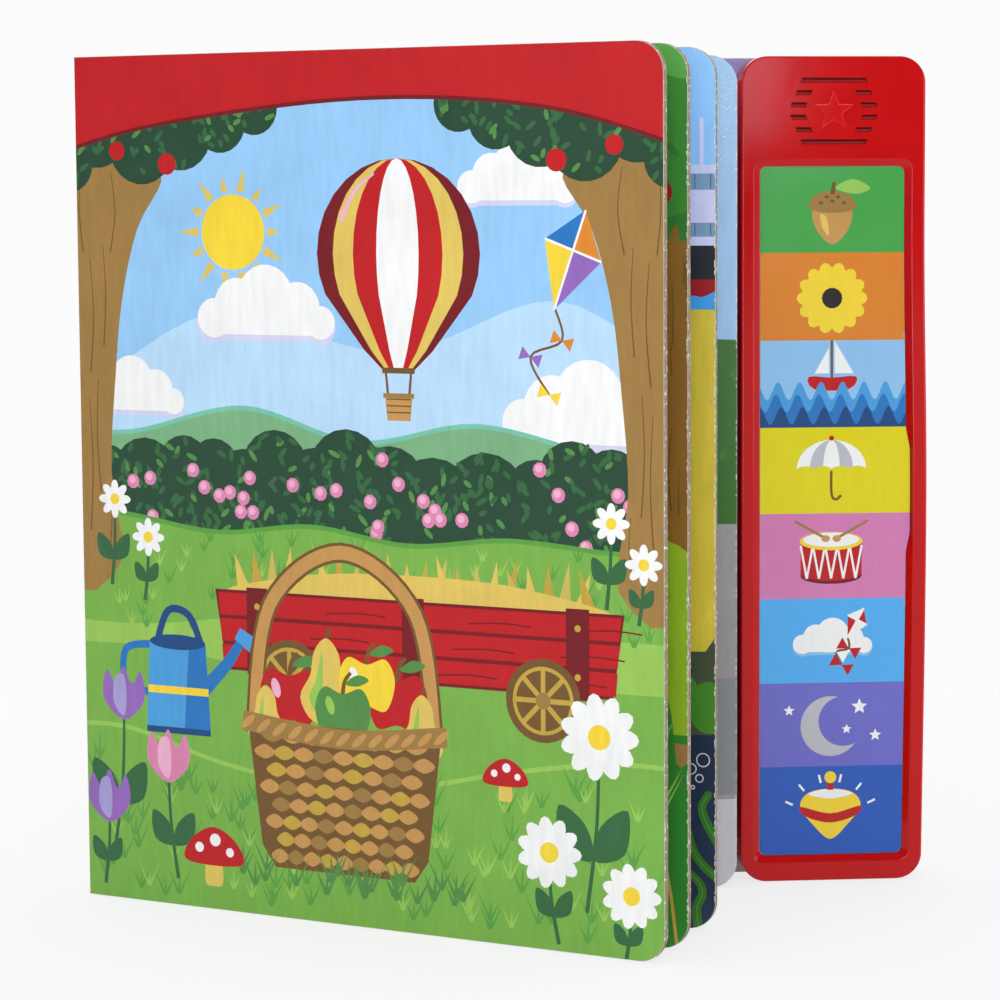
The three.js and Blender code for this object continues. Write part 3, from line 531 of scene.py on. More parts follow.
def cover_art():
    """Fruit basket and cart in a meadow between two trees, under a balloon."""
    w, h = COVER_WIDTH, HEIGHT
    a = Art(7)
    a.add("sky", rectangle(-5, -5, w + 5, h + 5))
    a.add("pale_sky", curve([(-20, 120), (40, 176), (110, 168), (170, 182), (220, 130), (100, 100)], 8))
    a.put(sun(11), 56, 202)
    for x, y, scale in ((66, 176, 1.0), (172, 148, 1.15), (150, 214, 0.8), (18, 152, 0.8)):
        a.put(cloud(), x, y, scale)
    ground(a, w, 138, "hill", "mint", (4, 12, 3, 9, 2))
    hedge(a, w, 142, 112)
    ground(a, w, 112, "grass", "grass_dark", (5, 1, 4, 0, 3, 1))
    ground(a, w, 84, "grass_light", "grass", (1, 6, 2, 5))
    ground(a, w, 74, "grass", "grass_light", (4, 0, 5, 1))
    a.blades("grass_dark", 52, 4, w - 4, 78, 112, 6)
    a.blades("grass_light", 34, 4, w - 4, 84, 110, 5)
    a.put(cart(), 116, 60, 0.92)
    a.put(watering_can(), 34, 62, 1.05)
    ground(a, w, 40, "grass", "grass_light", (12, 4, 0, 2, 9, 14))
    a.blades("grass_dark", 86, 2, w - 2, 2, 46, 8, 1.3)
    a.blades("grass_light", 44, 2, w - 2, 4, 44, 7)
    a.put(fruit_basket(), 92, 14, 0.92)
    a.blades("leaf_light", 26, 52, 136, 8, 15, 9, 1.4)
    side_tree(a, 0, 1)
    side_tree(a, w, -1)
    for x, y, height, bend, head, scale in (
            (14, 16, 44, 4, tulip(), 1.25), (30, 8, 34, -3, tulip("pink", "blush"), 1.25),
            (8, 4, 24, 2, tulip(), 1.25), (176, 12, 50, 4, daisy(11, 12), 1.0),
            (160, 2, 26, -3, daisy(11, 10), 1.0), (186, -2, 20, 2, daisy(11, 9), 1.0),
            (12, 96, 26, 1.5, daisy(8, 5.6), 1.0), (24, 92, 19, 1.5, daisy(8, 5.6), 1.0),
            (180, 98, 24, 1.5, daisy(8, 5.6), 1.0), (190, 94, 17, 1.5, daisy(8, 5.6), 1.0)):
        stalk(a, x, y, height, bend)
        a.put(head, x, y + height, scale)
    a.put(mushroom(), 46, 8, 1.3)
    a.put(mushroom(), 146, 42, 0.9)
    a.put(balloon(27), 112, 196)
    a.put(kite(13), 168, 196, 1.0, -0.35)
    for ink, lift in (("dark_red", 0.0), ("red", 1.2)):
        edge = [(-10, 224 + lift), (30, 233 + lift), (100, 239.4 + lift), (160, 236 + lift),
                (207, 223 + lift)]
        a.add(ink, curve(edge, 8, closed=False) + [(207, 262), (-10, 262)])
    return a


BLADE_INKS = {"grass": "grass_dark", "leaf": "leaf_dark", "lime": "grass_dark", "pine": "leaf_dark"}


def page_art(seed, bands, width=LEAF_WIDTH, extras=(), rolling=True):
    """A page in rolling bands, given from the top down as ink, shade and height of the band's top."""
    a = Art(seed)
    a.add(bands[0][0], rectangle(-5, -5, width + 5, HEIGHT + 5))
    for ink, shade, top in bands[1:]:
        ground(a, width, top, ink, shade, [a.random.uniform(-3, 5) if rolling else 0 for _ in range(5)])
        if ink in BLADE_INKS:
            a.blades(BLADE_INKS[ink], 30, 4, width - 4, max(top - 34, 2), top - 3, 6)
    for motif, x, y, scale in extras:
        a.put(motif, x, y, scale)
    return a


def painted_edge_glints(a, x, count):
    """Short pale dashes along a page's fore-edge: painted glints where the rough die-cut edge catches the
    light.
    """
    for _ in range(count):
        y = a.random.uniform(4, HEIGHT - 6)
        half = a.random.uniform(0.15, 0.7)
        wide = a.random.uniform(0.05, 0.11)
        a.add("white", rectangle(x - wide, y - half, x + wide, y + half))


def wood_grain(a, x0, x1, y0, y1, count, ink):
    for _ in range(count):
        x, y = a.random.uniform(x0, x1), a.random.uniform(y0, y1 - 8)
        rise, sway = a.random.uniform(10, 30), a.random.uniform(-1.2, 1.2)
        top = min(y + rise, y1)
        a.add(ink, ribbon([(x, y), (x + sway, (y + top) / 2), (x - sway * 0.4, top)], 0.5, 0.2))


def orchard_page():
    """A page with a big tree at its fore-edge, over meadow."""
    w = LEAF_WIDTH
    a = page_art(11, [("sky", "sky", 0), ("lime", "lime", 124), ("pine", "lime", 59)])
    a.put(cloud(), 60, 210)
    a.put(balloon(17), 108, 178)
    low = [(w - 52, 214, 12), (w - 38, 207, 11), (w - 24, 206, 9), (w - 11, 207, 9), (w + 2, 205, 9)]
    middle = [(w - 52, 230, 15), (w - 32, 224, 18), (w - 8, 226, 20)]
    high = [(w - 46, 258, 14), (w - 24, 260, 16), (w, 260, 16)]
    a.add("crown_dark", *(oval(x, y, r) for x, y, r in low))
    for x, y, r in low:
        a.leafy(("crown", "crown_dark"), 14, x, y, r, 2.4, 2.2)
    a.add("crown", *(oval(x, y, r) for x, y, r in middle))
    a.dabs(("crown", "crown_dark"), 40, w - 52, w, 214, 240, 2.4)
    a.add("crown_light", *(oval(x, y, r) for x, y, r in high))
    a.dabs(("crown_light", "crown"), 26, w - 50, w - 8, 232, 250, 2.4)
    a.add("brown", curve([(w - 22, 118), (w - 16, 150), (w - 14, 176), (w - 8, 194), (w - 3.6, 204),
                          (w - 1.6, 199), (w + 6, 200), (w + 8, 118), (w - 6, 116)], 5))
    wood_grain(a, w - 14, w, 122, 196, 26, "brown_dark")
    a.add("keel", oval(w - 7.8, 213, 3.2, 3.5))
    a.add("pine", curve([(w - 26, 44), (w - 26, 92), (w - 15, 90), (w - 6.4, 72), (w - 4.2, 59),
                         (w - 3.4, 44)], 5))
    a.add("bark", [(w - 4.1, 59), (w + 1, 58.6), (w + 1, 54.5), (w - 2, 52), (w - 3.6, 53)])
    a.add("bark", oval(w - 8.2, 32, 2.4, 6.2))
    a.add("straw_dark", ribbon([(w - 8, 28), (w - 5.4, 16), (w - 3.2, -1)], 1.0))
    a.blades("grass_light", 9, w - 26, w - 9, 4, 60, 16, 1.6)
    a.blades("leaf_dark", 8, w - 26, w - 9, 76, 110, 12)
    a.put(daisy(9, 12), 40, 40)
    painted_edge_glints(a, w - 0.28, 90)
    return a


def shore_page():
    """A page with a ship, a beach and weeds under water."""
    w = LEAF_WIDTH
    a = page_art(13, [("sky", "sky", 0), ("wet_blue", "wet_blue", 188), ("beach", "beach", 178.3),
                      ("weed", "weed", 60)], rolling=False)
    a.add("hull", [(w - 90, 197.9), (w + 6, 197.9), (w + 6, 188.3), (w - 84, 188.3)])
    keel = [(w - 70, 185), (w - 30, 184), (w - 8, 183.7), (w - 4, 183.3), (w - 0.3, 184.9), (w + 4, 187.4)]
    a.add("keel", [(w - 84, 188.3)] + curve(keel, 5, closed=False) + [(w + 6, 188.3)])
    a.add("lilac", rectangle(w - 78, 197.9, w + 6, 220.8))
    for y0, y1 in ((213.7, 218.3), (200.4, 204.4)):
        for k in range(8):
            x = w - 77.4 + k * 10
            a.add("pane", rectangle(x, y0, x + 9, y1))
            for bar in (x + 1.2, x + 5.8):
                a.add("pane_dark", rectangle(bar, y0 + 0.3, bar + 0.3, y1 - 0.2))
    a.add("lilac", rectangle(w - 4.7, 219, w - 3.5, 234))
    a.dabs(("straw", "sand", "beach"), 150, 0, w, 88, 174, 1.0)
    ground(a, w - 6, 80, "rock", "rock", (2, 5, 1, 4, 0))
    a.add("rock", curve([(w - 12, 79), (w - 7, 79.6), (w - 4, 80.2), (w + 2, 85), (w + 6, 60),
                         (w - 12, 60)], 5))
    a.dabs(("hull", "rock", "path_dark"), 26, 0, w - 1, 67, 76, 1.2)
    for k in range(14):
        a.add("moss", oval(w - 2 - k * 9, 65 + (k * 7 % 4), 6.2, 7.6))
    a.dabs(("moss", "bush", "leaf_light"), 60, 0, w, 60, 70, 1.4)
    a.add("weed", rectangle(-5, -5, w + 5, 57))
    for k in range(2, 16):
        x = w - 1.5 - k * 6.2
        top = 62 - (k * 17 % 23)
        line = [(x + 1.8 * (-1) ** j, top * j / 5) for j in range(6)]
        a.add("weed_light", ribbon(line, 3.8, 1.2))
        a.add("leaf_light", ribbon([(px + 0.3, py) for px, py in line], 0.5, 0.3))
    for line in ([(w - 2.2, 39.5), (w - 4.0, 36), (w - 2.8, 31.6), (w + 1.6, 24)],
                 [(w - 8.4, 29), (w - 6.6, 23), (w - 3.7, 18.8), (w + 1, 15)],
                 [(w - 7.4, 16), (w - 4.6, 13.2), (w - 4.0, 10), (w - 5.6, 6.2), (w - 5, -1)]):
        a.add("weed_light", ribbon(line, 2.3, 2.9), oval(*line[0], 1.2))
        a.add("leaf_light", ribbon(line, 0.3, 0.4))
    bubbles = [(3.7, 49.7, 2.1), (7.3, 47, 1.7), (4.8, 44.3, 1.3), (6.8, 41.6, 0.7), (20, 50, 1.8),
               (26, 44, 1.3)]
    for x, y, r in bubbles:
        a.add("path_light", oval(w - x, y, r))
        a.add("weed", oval(w - x, y, r - 0.36))
    painted_edge_glints(a, w - 0.28, 110)
    return a


def park_page():
    """A page with a bush and a stone path, and tiny white specks painted in its sky near the fore-edge as
    glints off the laminate.
    """
    w = LEAF_WIDTH
    a = page_art(15, [("far_sky", "far_sky", 0), ("bush", "bush", 162), ("path", "path", 106),
                      ("path_dark", "path", 66), ("path_light", "path", 29)])
    a.put(cloud(), 130, 222)
    a.put(mushroom(), 130, 20, 2.0)
    for k in range(8):
        a.add("bush", oval(w - 4 - k * 9, 161 + (k * 5 % 4), 6.4))
    a.dabs(("weed_light", "bush", "crown_dark"), 120, 0, w, 110, 162, 2.2)
    # Painted glints: tiny white specks near the top of the fore-edge, where the laminate catches the light.
    for _ in range(90):
        x, y = w - a.random.uniform(0.6, 8.5), a.random.triangular(216, 251, 246)
        a.add("white", oval(x, y, a.random.uniform(0.08, 0.24), a.random.uniform(0.08, 0.2), n=7))
    painted_edge_glints(a, w - 0.28, 80)
    return a


def sail_boat():
    a = Art()
    a.add("bark_dark", rectangle(-0.5, 0, 0.5, 17))
    a.add("white", [(1.2, 2.4), (1.2, 16.4), (9.4, 2.4)], [(-1.2, 2.4), (-1.2, 13.4), (-7.4, 2.4)])
    a.add("red", curve([(-10, 1), (-7.4, -4.4), (7.4, -4.4), (10.6, 1), (0, 0.6)], 3))
    return a


def waves(a, x0, x1, y, ink, size=6.2):
    """Water whose upper edge runs in waves of about one size."""
    count = int((x1 - x0) / size)
    step = (x1 - x0) / count
    points = []
    for i in range(count):
        for t in (k / 10 for k in range(10)):
            points.append((x0 + (i + t) * step, y + size * 0.45 * math.cos(2 * math.pi * t)))
    points.append((x1, y + size * 0.45))
    a.add(ink, points + [(x1, -30), (x0, -30)])


def umbrella():
    a = Art()
    a.add("bark_dark", ribbon([(0, 4), (0, -7), (1.4, -9.4), (3.4, -8)], 0.9))
    dome = oval(0, 1, 12, 10, n=16, sweep=math.pi)
    a.add("white", dome)
    a.add("grey_light", [(x * 0.62, y) for x, y in dome])
    a.add("white", [(x * 0.24, y) for x, y in dome])
    for x in (-9, -3, 3, 9):
        a.add("field_yellow", oval(x, 0.8, 3.0, 1.3, n=12))
    a.add("red", oval(0, 11.6, 0.9, n=10))
    return a


def drum():
    a = Art()
    a.add("dark_red", rectangle(-10, -6, 10, 5), oval(0, -6, 10, 2.6))
    a.add("red", rectangle(-10, -5, 10, 5), oval(0, -5, 10, 2.6))
    for i in range(5):
        x = -10 + i * 4
        a.add("white", ribbon([(x, 4), (x + 2, -6.8)], 0.7), ribbon([(x + 2, -6.8), (x + 4, 4)], 0.7))
    a.add("yellow", oval(0, 5.4, 10.4, 3.0))
    a.add("white", oval(0, 5.8, 9.2, 2.3))
    for side in (-1, 1):
        a.add("bark", ribbon([(side * 2, 6.4), (side * 12, 12)], 0.9))
        a.add("tan", oval(side * 1.8, 6.2, 1.4, 1.1))
    return a


def moon_and_stars():
    a = Art()
    outer = oval(0, 0, 9.4, n=26, start=math.radians(75.8), sweep=math.radians(249.5))
    inner = oval(4, 1.5, 7.8, n=20, start=math.radians(102.6), sweep=math.radians(196))
    a.add("grey_light", outer + inner[::-1])
    for x, y, r in ((9, 6, 2.6), (14, -3, 2.0), (-13, 5, 1.8), (5, -1, 1.6)):
        reaches = [(r if i % 2 == 0 else r * 0.45, i * math.pi / 5) for i in range(10)]
        a.add("white", [(x + reach * math.sin(t), y + reach * math.cos(t)) for reach, t in reaches])
    return a


def acorn():
    a = Art()
    a.add("tan", curve([(-6.6, 2), (-5.4, -5), (0, -10), (5.4, -5), (6.6, 2), (0, 3)], 5))
    a.add("straw", curve([(-4.2, 0), (-3.4, -4.4), (-1.2, -7), (-2, -1)], 4))
    a.add("bark", curve([(-8, 2), (-6, 6.4), (0, 8), (6, 6.4), (8, 2), (0, 0.6)], 5))
    a.add("bark_dark", ribbon([(0, 7), (0.6, 11)], 1.6, 1.1))
    for x, y in ((-4, 4), (0, 4.6), (4, 4), (-2, 6), (2, 6)):
        a.add("bark_dark", oval(x, y, 0.8, 0.5, n=8))
    a.add("grass_light", curve([(1, 9), (7, 12), (13, 9), (8, 7)], 4))
    return a


def top_toy():
    a = Art()
    a.add("yellow", curve([(-11, 2), (-8, 7), (0, 8.4), (8, 7), (11, 2), (6, -5), (0, -10), (-6, -5)], 5))
    a.add("red", curve([(-11, 2), (0, -0.6), (11, 2), (9, -1.6), (0, -4), (-9, -1.6)], 5))
    a.add("white", curve([(-8, 6.6), (0, 4.8), (8, 6.6), (0, 8.4)], 5))
    a.add("red", rectangle(-1.2, 8, 1.2, 12))
    a.add("yellow", oval(0, 12.6, 2.2, n=14))
    for i in range(6):
        t = math.pi * (0.14 + 0.145 * i)
        c, s = math.cos(t), math.sin(t)
        a.add("white", ribbon([(15 * c, 14 * s - 3), (18 * c, 17 * s - 3)], 0.8))
    return a


def kite_cloud():
    a = Art()
    a.put(cloud("field_sky"), 0, -1, 0.52)
    a.put(kite(4.7, ("red", "white", "red", "white")), 8, 6.4, 1.0, -0.5)
    return a


# Fields of the film from the top: ground ink, the motif on it and the motif's scale
def boat_field():
    a = Art()
    a.put(sail_boat(), 0, 2, 0.72)
    for shift, y, ink in ((0, -1.6, "blue_light"), (-0.6, -5.4, "blue"), (1, -9.2, "navy")):
        waves(a, -30 + shift, 30 + shift, y, ink)
    return a


FIELDS = [
    ("field_green", acorn, 0.9), ("field_orange", lambda: flower("yellow", "ink", 14, 11.5), 0.92),
    ("field_sky", boat_field, 1.0), ("field_yellow", umbrella, 0.9), ("field_pink", drum, 0.95),
    ("field_blue", kite_cloud, 1.0), ("field_purple", moon_and_stars, 1.0), ("field_deep", top_toy, 0.86),
]


# Materials
class Graph:
    """The nodes of a material or of the world, each made and fed in one call."""

    def __init__(self, owner):
        owner.use_nodes = True
        self.nodes = owner.node_tree.nodes
        self.links = owner.node_tree.links

    def feed(self, node, **values):
        """Set a node's inputs, named with _ for each space, to plain values or to other nodes' outputs."""
        for name, value in values.items():
            self.plug(node.inputs[name.replace("_", " ")], value)

    def plug(self, socket, value):
        if isinstance(value, bpy.types.NodeSocket):
            self.links.new(value, socket)
        else:
            socket.default_value = value

    def add(self, kind, *values, **named):
        """A new node with its first inputs in order and others by name."""
        node = self.nodes.new("ShaderNode" + kind)
        for socket, value in zip(node.inputs, values):
            self.plug(socket, value)
        self.feed(node, **named)
        return node

    def place(self, kind="Object"):
        return self.add("TexCoord").outputs[kind]

    def noise(self, scale, detail=4.0, stretch=(1, 1, 1), turn=0.0):
        mapping = self.add("Mapping", Vector=self.place(), Scale=stretch, Rotation=(0, turn, 0))
        texture = self.add("TexNoise", Vector=mapping.outputs["Vector"], Scale=scale, Detail=detail)
        return texture.outputs["Fac"]

    def ranged(self, source, low, high, start=0.3, end=0.7, kind="LINEAR"):
        """A value that runs from low to high as its source runs from start to end."""
        node = self.add("MapRange", source, start, end, low, high)
        node.interpolation_type = kind
        return node.outputs["Result"]

    def varied(self, colour, source, low, high):
        """The colour made a little darker and lighter by a noise."""
        return self.add("HueSaturation", Value=self.ranged(source, low, high), Color=colour).outputs["Color"]

    def maths(self, operation, first, second):
        node = self.add("Math", first, second)
        node.operation = operation
        return node.outputs[0]

    def seen(self, share=None):
        """1 for what the camera sees and, times a share if given, for what gloss and glass show."""
        path = self.add("LightPath").outputs
        mirrored = self.maths("MAXIMUM", path["Is Glossy Ray"], path["Is Transmission Ray"])
        if share:
            mirrored = self.maths("MULTIPLY", mirrored, share)
        return self.maths("MAXIMUM", path["Is Camera Ray"], mirrored)

    def finish(self, shader, colour, source, roughness, level):
        """Colour, roughness varied by a noise, and how strongly the surface mirrors."""
        self.plug(shader.inputs["Base Color"], colour)
        self.plug(shader.inputs["Roughness"], self.ranged(source, roughness * 0.85, roughness * 1.15))
        shader.inputs["Specular IOR Level"].default_value = level

    def bump(self, shader, source, strength, distance):
        node = self.add("Bump", Strength=strength, Distance=distance, Height=source)
        self.plug(shader.inputs["Normal"], node.outputs["Normal"])


def opaque(rgb):
    return (*linear(rgb), 1)


def material(name, build):
    m = bpy.data.materials.new(name)
    graph = Graph(m)
    build(graph, graph.nodes["Principled BSDF"])
    return m


def print_material(name, roughness, level, mottle=0.05, crinkle=0.12):
    """Ink under a laminate: the ink is the mesh's own colour, under pencil strokes and soft mottling."""
    def build(graph, shader):
        ink = graph.add("Attribute")
        ink.attribute_name = "ink"
        colour = ink.outputs["Color"]
        soft = graph.noise(45)
        strokes = graph.noise(420, stretch=(1, 1, 0.16), turn=0.45)
        cross = graph.noise(520, 3, (1, 1, 0.2), -0.6)
        for source, darker, lighter in ((soft, 1.0, 1.0), (strokes, 1.0, 0.8), (cross, 0.6, 0.5)):
            colour = graph.varied(colour, source, 1 - mottle * darker, 1 + mottle * lighter)
        graph.finish(shader, colour, soft, roughness, level)
        graph.bump(shader, graph.noise(1500, 3), crinkle, 0.00006)
    return material(name, build)


def plain_material(name, colour, roughness, metallic=0.0, grain=300, strength=0.1, level=0.5, spread=0.05):
    def build(graph, shader):
        cloudy = graph.noise(grain * 0.2, 3)
        tint = graph.varied(opaque(colour), cloudy, 1 - spread, 1 + spread)
        graph.finish(shader, tint, cloudy, roughness, level)
        shader.inputs["Metallic"].default_value = metallic
        graph.bump(shader, graph.noise(grain, 3), strength, 0.0001)
    return material(name, build)


def red_material(name, colour, roughness, strength, level):
    return plain_material(name, colour, roughness, grain=500, strength=strength, level=level, spread=0.03)


# Colours of the card's edge across its thickness, pale at the faces and dark at the glue line
CARD_LAYERS = [
    (0.0, (212, 204, 192)), (0.07, (186, 174, 156)), (0.13, (160, 142, 118)), (0.44, (170, 154, 130)),
    (0.5, (112, 96, 76)), (0.56, (168, 152, 128)), (0.87, (156, 138, 114)), (0.93, (186, 174, 156)),
    (1.0, (214, 206, 194)),
]


def card_material():
    """Cut edge of two-ply card: layered fibres with pale flecks."""
    def build(graph, shader):
        split = graph.add("SeparateXYZ", graph.place())
        ramp = graph.add("ValToRGB", graph.ranged(split.outputs["Y"], 0.0, 1.0, 0.0, LEAF * MM))
        stops = ramp.color_ramp.elements
        for stop, (_, rgb) in zip(stops, (CARD_LAYERS[0], CARD_LAYERS[-1])):
            stop.color = opaque(rgb)
        for position, rgb in CARD_LAYERS[1:-1]:
            stops.new(position).color = opaque(rgb)
        fibre = graph.noise(900, 5, (1, 2.2, 0.5))
        worn = graph.varied(ramp.outputs["Color"], fibre, 0.74, 1.06)
        fleck = graph.ranged(graph.noise(1300, 2, (1, 1, 0.6)), 0.0, 1.0, 0.6, 0.68)
        mix = graph.add("Mix")
        mix.data_type = "RGBA"
        for socket, value in zip((0, 6, 7), (fleck, worn, opaque((252, 250, 246)))):
            graph.plug(mix.inputs[socket], value)
        graph.plug(shader.inputs["Base Color"], mix.outputs[2])
        shader.inputs["Roughness"].default_value = 0.85
        graph.bump(shader, fibre, 0.5, 0.0001)
    return material("card_edge", build)


PRINT = print_material("laminated_print", 0.34, 0.28)
FILM = print_material("printed_film", 0.18, 0.3, 0.02, 0.05)
CARD = card_material()
RED = red_material("gloss_red", (196, 9, 12), 0.1, 0.015, 0.26)
# A lighter red, painted as the highlight along the rounded front edge and on the star's bevels.
RED_LIP_HIGHLIGHT = red_material("lip_red_painted_highlight", (222, 46, 50), 0.2, 0.02, 0.4)
# A darker red, painted as the shade inside the slots.
RED_GROOVE_SHADE = red_material("groove_red_painted_shade", (150, 8, 10), 0.5, 0.05, 0.2)
RED_STAR = red_material("star_red", (204, 15, 19), 0.11, 0.02, 0.26)
# A brighter red, painted as the light on the strip's side walls; also rougher than the face.
RED_SIDE_LIT = red_material("satin_red_painted_light", (246, 24, 28), 0.5, 0.05, 0.12)


# Meshes
def linked(name, data):
    item = bpy.data.objects.new(name, data)
    bpy.context.scene.collection.objects.link(item)
    return item


def finished(name, mesh, matrix, look, body, shown_for=()):
    piece = linked(name, mesh)
    piece.matrix_world = matrix
    mesh.materials.append(look)
    if shown_for:
        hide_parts(*shown_for)
    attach(piece, body)
    return piece


def rounded(x0, y0, x1, y1, radii, n=10):
    """Rounded rectangle from its bottom left corner round to its top left, radii in that order."""
    corners = [(x0, y0, 1, 1, math.pi), (x1, y0, -1, 1, 1.5 * math.pi), (x1, y1, -1, -1, 0.0),
               (x0, y1, 1, -1, 0.5 * math.pi)]
    points = []
    for (cx, cy, sx, sy, start), r in zip(corners, radii):
        for i in range(n + 1):
            t = start + 0.5 * math.pi * i / n
            points.append((cx + sx * r + r * math.cos(t), cy + sy * r + r * math.sin(t)))
    return points


class Shell:
    """A mesh grown from rings of points at depths, with flat fills between rings."""

    def __init__(self):
        self.points = []
        self.faces = []

    def ring(self, outline, depth):
        first = len(self.points)
        self.points.extend((x * MM, depth * MM, z * MM) for x, z in outline)
        return list(range(first, len(self.points)))

    def rings(self, levels):
        return [self.ring(outline, depth) for outline, depth in levels]

    def walls(self, rings, outward=True):
        """Quads between each ring and the next."""
        for front, back in zip(rings, rings[1:]):
            for i in range(len(front)):
                j = (i + 1) % len(front)
                quad = (front[i], back[i], back[j], front[j])
                self.faces.append(quad[::-1] if outward else quad)

    def fill(self, outer, holes=(), front=True):
        """A flat face between a ring and its holes."""
        rings = [outer, *holes]
        order = [i for ring in rings for i in ring]
        spots = [Vector((self.points[i][0] / MM, self.points[i][2] / MM)) for i in order]
        loops, at = [], 0
        for ring in rings:
            loops.append(list(range(at, at + len(ring))))
            at += len(ring)
        _, _, faces, sources, _, regions = delaunay_2d_cdt(spots, [], loops, 1, 1e-5, True)
        for face, region in zip(faces, regions):
            if list(region) == [0]:
                triangle = [order[sources[v][0]] for v in face]
                self.faces.append(triangle if front else triangle[::-1])

    def mesh(self, name, angle=32.0):
        mesh = bpy.data.meshes.new(name)
        mesh.from_pydata(self.points, [], self.faces)
        bm = bmesh.new()
        bm.from_mesh(mesh)
        bmesh.ops.recalc_face_normals(bm, faces=bm.faces)
        bm.to_mesh(mesh)
        bm.free()
        mesh.shade_smooth()
        mesh.set_sharp_from_angle(angle=math.radians(angle))
        return mesh


def card_outline(width, inset, left=ROOT_RADIUS, low=BOTTOM_RADIUS, high=TOP_RADIUS):
    radii = [max(r - inset, 0.3) for r in (left, low, high, left)]
    return rounded(inset, inset, width - inset, HEIGHT - inset, radii)


def card(name, outline, depth, matrix, body, shown_for=(), hole=None):
    """Card with a die-cut edge: slightly rounded lips and a faint groove at the glue line."""
    shell = Shell()
    half = depth / 2
    levels = [(0.14, 0.0), (0.04, 0.05), (0.0, 0.16), (0.0, half - 0.1), (0.05, half), (0.0, half + 0.1),
              (0.0, depth - 0.16), (0.04, depth - 0.05), (0.14, depth)]
    rings = shell.rings((outline(inset), y) for inset, y in levels)
    shell.walls(rings)
    holes = shell.rings([(hole, 0.0), (hole, depth)]) if hole else []
    shell.walls(holes, outward=False)
    shell.fill(rings[0], holes[:1])
    shell.fill(rings[-1], holes[1:], front=False)
    return finished(name, shell.mesh(name), matrix, CARD, body, shown_for)


def covers(shape, spots):
    """Which of the spots lie inside a closed outline, by winding number."""
    a = np.asarray(shape)
    b = np.roll(a, -1, axis=0)
    inside = np.zeros(len(spots), dtype=bool)
    near = np.flatnonzero(np.all((spots >= a.min(axis=0)) & (spots <= a.max(axis=0)), axis=1))
    if not len(near):
        return inside
    x, y = spots[near, 0:1], spots[near, 1:2]
    side = (b[:, 0] - a[:, 0]) * (y - a[:, 1]) - (x - a[:, 0]) * (b[:, 1] - a[:, 1])
    up = (a[:, 1] <= y) & (b[:, 1] > y) & (side > 0)
    down = (a[:, 1] > y) & (b[:, 1] <= y) & (side < 0)
    inside[near] = (up.sum(axis=1) - down.sum(axis=1)) != 0
    return inside


def picture_mesh(name, outline, art, hole=None, grid=(), lift=lambda x, z: 0.0):
    """The picture as one mesh: its plane is cut along every shape, and each piece takes its top ink."""
    loops, spots = [], []
    for shape in [outline, *(shape for _, shape in art.shapes), *([hole] if hole else [])]:
        loops.append(list(range(len(spots), len(spots) + len(shape))))
        spots.extend(Vector(p) for p in shape)
    edges = [(loop[k - 1], loop[k]) for loop in loops for k in range(len(loop))]
    spots.extend(Vector(p) for p in grid)
    points, _, faces, _, _, _ = delaunay_2d_cdt(spots, edges, [], 0, 1e-4, False)
    corners = np.array([tuple(p) for p in points])
    triangles = np.array([list(face) for face in faces])
    middles = corners[triangles].mean(axis=1)
    ink_of = np.full(len(triangles), -1)
    for k, (_, shape) in enumerate(art.shapes):
        ink_of[covers(shape, middles)] = k
    ink_of[~covers(outline, middles)] = -1
    if hole:
        ink_of[covers(hole, middles)] = -1
    kept = np.flatnonzero(ink_of >= 0)
    used, faces = np.unique(triangles[kept], return_inverse=True)
    mesh = bpy.data.meshes.new(name)
    places = [(x * MM, -lift(x, z) * MM, z * MM) for x, z in corners[used]]
    mesh.from_pydata(places, [], faces.reshape(-1, 3).tolist())
    colour = mesh.color_attributes.new("ink", "FLOAT_COLOR", "CORNER")
    shades = np.array([(*INKS[ink], 1.0) for ink, _ in art.shapes])[ink_of[kept]]
    colour.data.foreach_set("color", np.repeat(shades, 3, axis=0).ravel())
    return mesh


def skin(name, outline, art, matrix, body, hole=None):
    """A printed sheet on a card's face."""
    lifted = matrix @ Matrix.Translation((0, -SKIN * MM, 0))
    return finished(name, picture_mesh(name, outline, art, hole), lifted, PRINT, body)


def mirrored(outline, width):
    return [(width - x, z) for x, z in outline][::-1]


def leaf_card(name, width, matrix, body, front, back, shown_for):
    def outline(inset):
        return card_outline(width, inset)

    card(name + "_card", outline, LEAF, matrix, body, shown_for)
    skin(name + "_front", outline(CUT), front, matrix, body)
    skin(name + "_back", mirrored(outline(CUT), width), back, behind(matrix, width, LEAF), body)


# Cover
def lining_art(width=COVER_WIDTH):
    """A lavender sheet with a small even pattern of flowers."""
    a = Art()
    a.add("lavender", rectangle(-5, -5, width + 5, HEIGHT + 5))
    for row in range(11):
        for column in range(8):
            x = 14 + column * 26 + (13 if row % 2 else 0)
            a.put(flower("white", "lavender", 5, 4.2), x, 12 + row * 23.4, 1.0, row + column)
    return a


leaf_card("cover", COVER_WIDTH, COVER_FRAME, "cover", cover_art(), lining_art(),
          ("front_cover",))


# Pages: their fore-edges show beside the cover, so each picture runs to its edge
def tree():
    a = Art(5)
    a.add("brown", curve([(-9, 0), (-6, 30), (-7, 80), (-16, 120), (16, 120), (8, 80), (7, 30), (11, 0)], 6))
    for x, y, r in ((-22, 128, 22), (8, 140, 28), (26, 122, 18), (0, 116, 20)):
        a.add("leaf", oval(x, y, r))
        a.leafy(("leaf_light", "leaf_dark"), 22, x, y, r, 2.6, 2.5)
    return a


